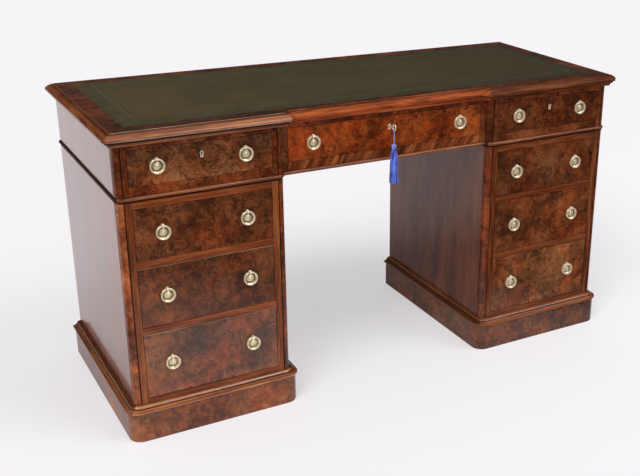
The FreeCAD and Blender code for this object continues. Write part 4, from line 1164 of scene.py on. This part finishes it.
def makeTassel():
    line = cordLine()
    cord = Piece("tasselCord")
    cord.add(twistedCord(line), cordSilk)
    cordPiece = cord.finish("tassel", "blue_silk", ["tassel_cord"], weighted=False)
    across, back = tassel["cord"][0][:2]
    body = Piece("tasselHead")
    for shape in (ribbedHead(), boundNeck()):
        bmesh.ops.translate(shape, verts=shape.verts, vec=(across, back, 0))
        body.add(shape, paleSilk)
    binding = grow(ringTree(), {
        "Radius": tassel["neckRadius"], "Wire": tassel["bindingWire"], "Finish": paleSilk})
    for turn in range(tassel["bindings"]):
        shape = bmesh.new()
        shape.from_mesh(binding)
        bmesh.ops.rotate(shape, verts=shape.verts, matrix=Matrix.Rotation(math.pi / 2, 3, "X"))
        height = tassel["bindingFoot"] + turn * tassel["bindingPitch"] * tassel["bindingWire"]
        bmesh.ops.translate(shape, verts=shape.verts, vec=(across, back, height))
        body.add(shape, paleSilk)
    loop = grow(ringTree(), {"Radius": tassel["loopRadius"], "Wire": tassel["loopWire"], "Finish": cordSilk})
    addMesh(body, loop, cordSilk, (across, back, tassel["loopMiddle"]))
    headPiece = body.finish("tassel", "blue_silk", [], weighted=False)
    threads = grow(threadsTree(), {
        "Threads": tassel["threads"], "Top": tassel["topRadius"],
        "Spread": tassel["endRadius"] / tassel["topRadius"] - 1,
        "Length": tassel["skirtTop"] - tassel["skirtEnd"],
        "Thread": tassel["threadRadius"], "Seed": tassel["seed"], "Finish": silk})
    skirt = Piece("tasselSkirt")
    addMesh(skirt, threads, silk, (across, back, tassel["skirtTop"]))
    skirt.finish("tassel", "blue_silk", ["tassel"], weighted=False)


makeTassel()
print("tassel hung")


# pale seamless ground and soft studio light
studio = {
    "ground": (0.93, 0.915, 0.95), "groundHalf": 40.0, "glossDark": 0.04,
    "glossEdge": (-1.10, -0.60), "glossLean": -0.6, "glossLeft": (-1.35, -0.95), "glossBack": (-0.30, 0.15),
    "world": 0.50, "worldSeen": 0.92, "glossLow": 0.05, "glossHigh": 0.75, "glossRise": (0.55, 0.90),
    "paper": (1, 0.985, 1, 1), "paperNear": 1.0, "paperFar": 0.92, "paperRun": (-0.6, 2.0),
    "paperShare": 0.44,
    "suns": {"leftKey": (1.35, 34, (-0.75, -0.55, 0.95)), "rightKey": (0.80, 34, (0.70, -0.62, 0.95))},
    "glints": {"stripLeft": (0.55, 7, (0.28, -0.80, 0.53)), "stripRight": (0.55, 7, (0.52, -0.68, 0.52))},
}


# the ground and sky look darker to reflections from in front, as an unlit room beyond the paper does
def groundMaterial():
    material, tree, shader = newTree("paleGround")
    at = put(tree, "ShaderNodeTexCoord").outputs["Object"]
    parts = put(tree, "ShaderNodeSeparateXYZ", Vector=at)
    lean = math2(tree, "MULTIPLY", parts.outputs["X"], studio["glossLean"])
    depth = math2(tree, "ADD", parts.outputs["Y"], lean)
    near = math2(tree, "MULTIPLY", fade(tree, depth, *studio["glossEdge"]),
                 fade(tree, parts.outputs["X"], *studio["glossLeft"]))
    lit = math2(tree, "MAXIMUM", near, fade(tree, parts.outputs["Y"], *studio["glossBack"]))
    lit = math2(tree, "MAXIMUM", lit, studio["glossDark"])
    path = put(tree, "ShaderNodeLightPath")
    dim = math2(tree, "MULTIPLY", path.outputs["Is Glossy Ray"], math2(tree, "SUBTRACT", 1.0, lit))
    tree.links.new(mixColour(tree, dim, studio["ground"], (0.0, 0.0, 0.0)), shader.inputs["Base Color"])
    shader.inputs["Roughness"].default_value = 0.9
    shader.inputs["Specular IOR Level"].default_value = 0.0
    glow = fade(tree, parts.outputs["Y"], *studio["paperRun"], studio["paperNear"], studio["paperFar"])
    paper = put(tree, "ShaderNodeEmission", Color=studio["paper"], Strength=glow)
    seen = math2(tree, "MULTIPLY", path.outputs["Is Camera Ray"], studio["paperShare"])
    both = put(tree, "ShaderNodeMixShader", Fac=seen, at1=shader.outputs["BSDF"],
               at2=paper.outputs["Emission"])
    tree.links.new(both.outputs["Shader"], tree.nodes["Material Output"].inputs["Surface"])
    return material


def addWorld():
    world = bpy.data.worlds.new("studioWorld")
    world.use_nodes = True
    tree = world.node_tree
    back = tree.nodes["Background"]
    way = put(tree, "ShaderNodeTexCoord").outputs["Generated"]
    up = put(tree, "ShaderNodeSeparateXYZ", Vector=way).outputs["Z"]
    seen = fade(tree, up, *studio["glossRise"], studio["glossLow"], studio["glossHigh"])
    path = put(tree, "ShaderNodeLightPath")
    mixGloss = put(tree, "ShaderNodeMix", {"data_type": "FLOAT"}, at0=path.outputs["Is Glossy Ray"],
                   at2=studio["world"], at3=seen).outputs[0]
    mixSeen = put(tree, "ShaderNodeMix", {"data_type": "FLOAT"}, at0=path.outputs["Is Camera Ray"],
                  at2=mixGloss, at3=studio["worldSeen"]).outputs[0]
    back.inputs["Color"].default_value = (1, 1, 1, 1)
    tree.links.new(mixSeen, back.inputs["Strength"])
    bpy.context.scene.world = world


def addSun(name, energy, spreadDeg, source):
    lamp = bpy.data.lights.new(name, "SUN")
    lamp.energy = energy
    lamp.angle = math.radians(spreadDeg)
    obj = bpy.data.objects.new(name, lamp)
    obj.rotation_euler = Vector(source).to_track_quat("Z", "Y").to_euler()
    bpy.context.scene.collection.objects.link(obj)
    return obj


def addStudio():
    mesh = bpy.data.meshes.new("ground")
    half = studio["groundHalf"]
    corners = [(-half, -half, 0), (half, -half, 0), (half, half, 0), (-half, half, 0)]
    mesh.from_pydata(corners, [], [(0, 1, 2, 3)])
    mesh.materials.append(groundMaterial())
    ground = bpy.data.objects.new("ground", mesh)
    bpy.context.scene.collection.objects.link(ground)
    addWorld()
    for name, sun in studio["suns"].items():
        addSun(name, *sun)
    for name, sun in studio["glints"].items():
        addSun(name, *sun).visible_diffuse = False             # small lamps that only show in the polish


addStudio()
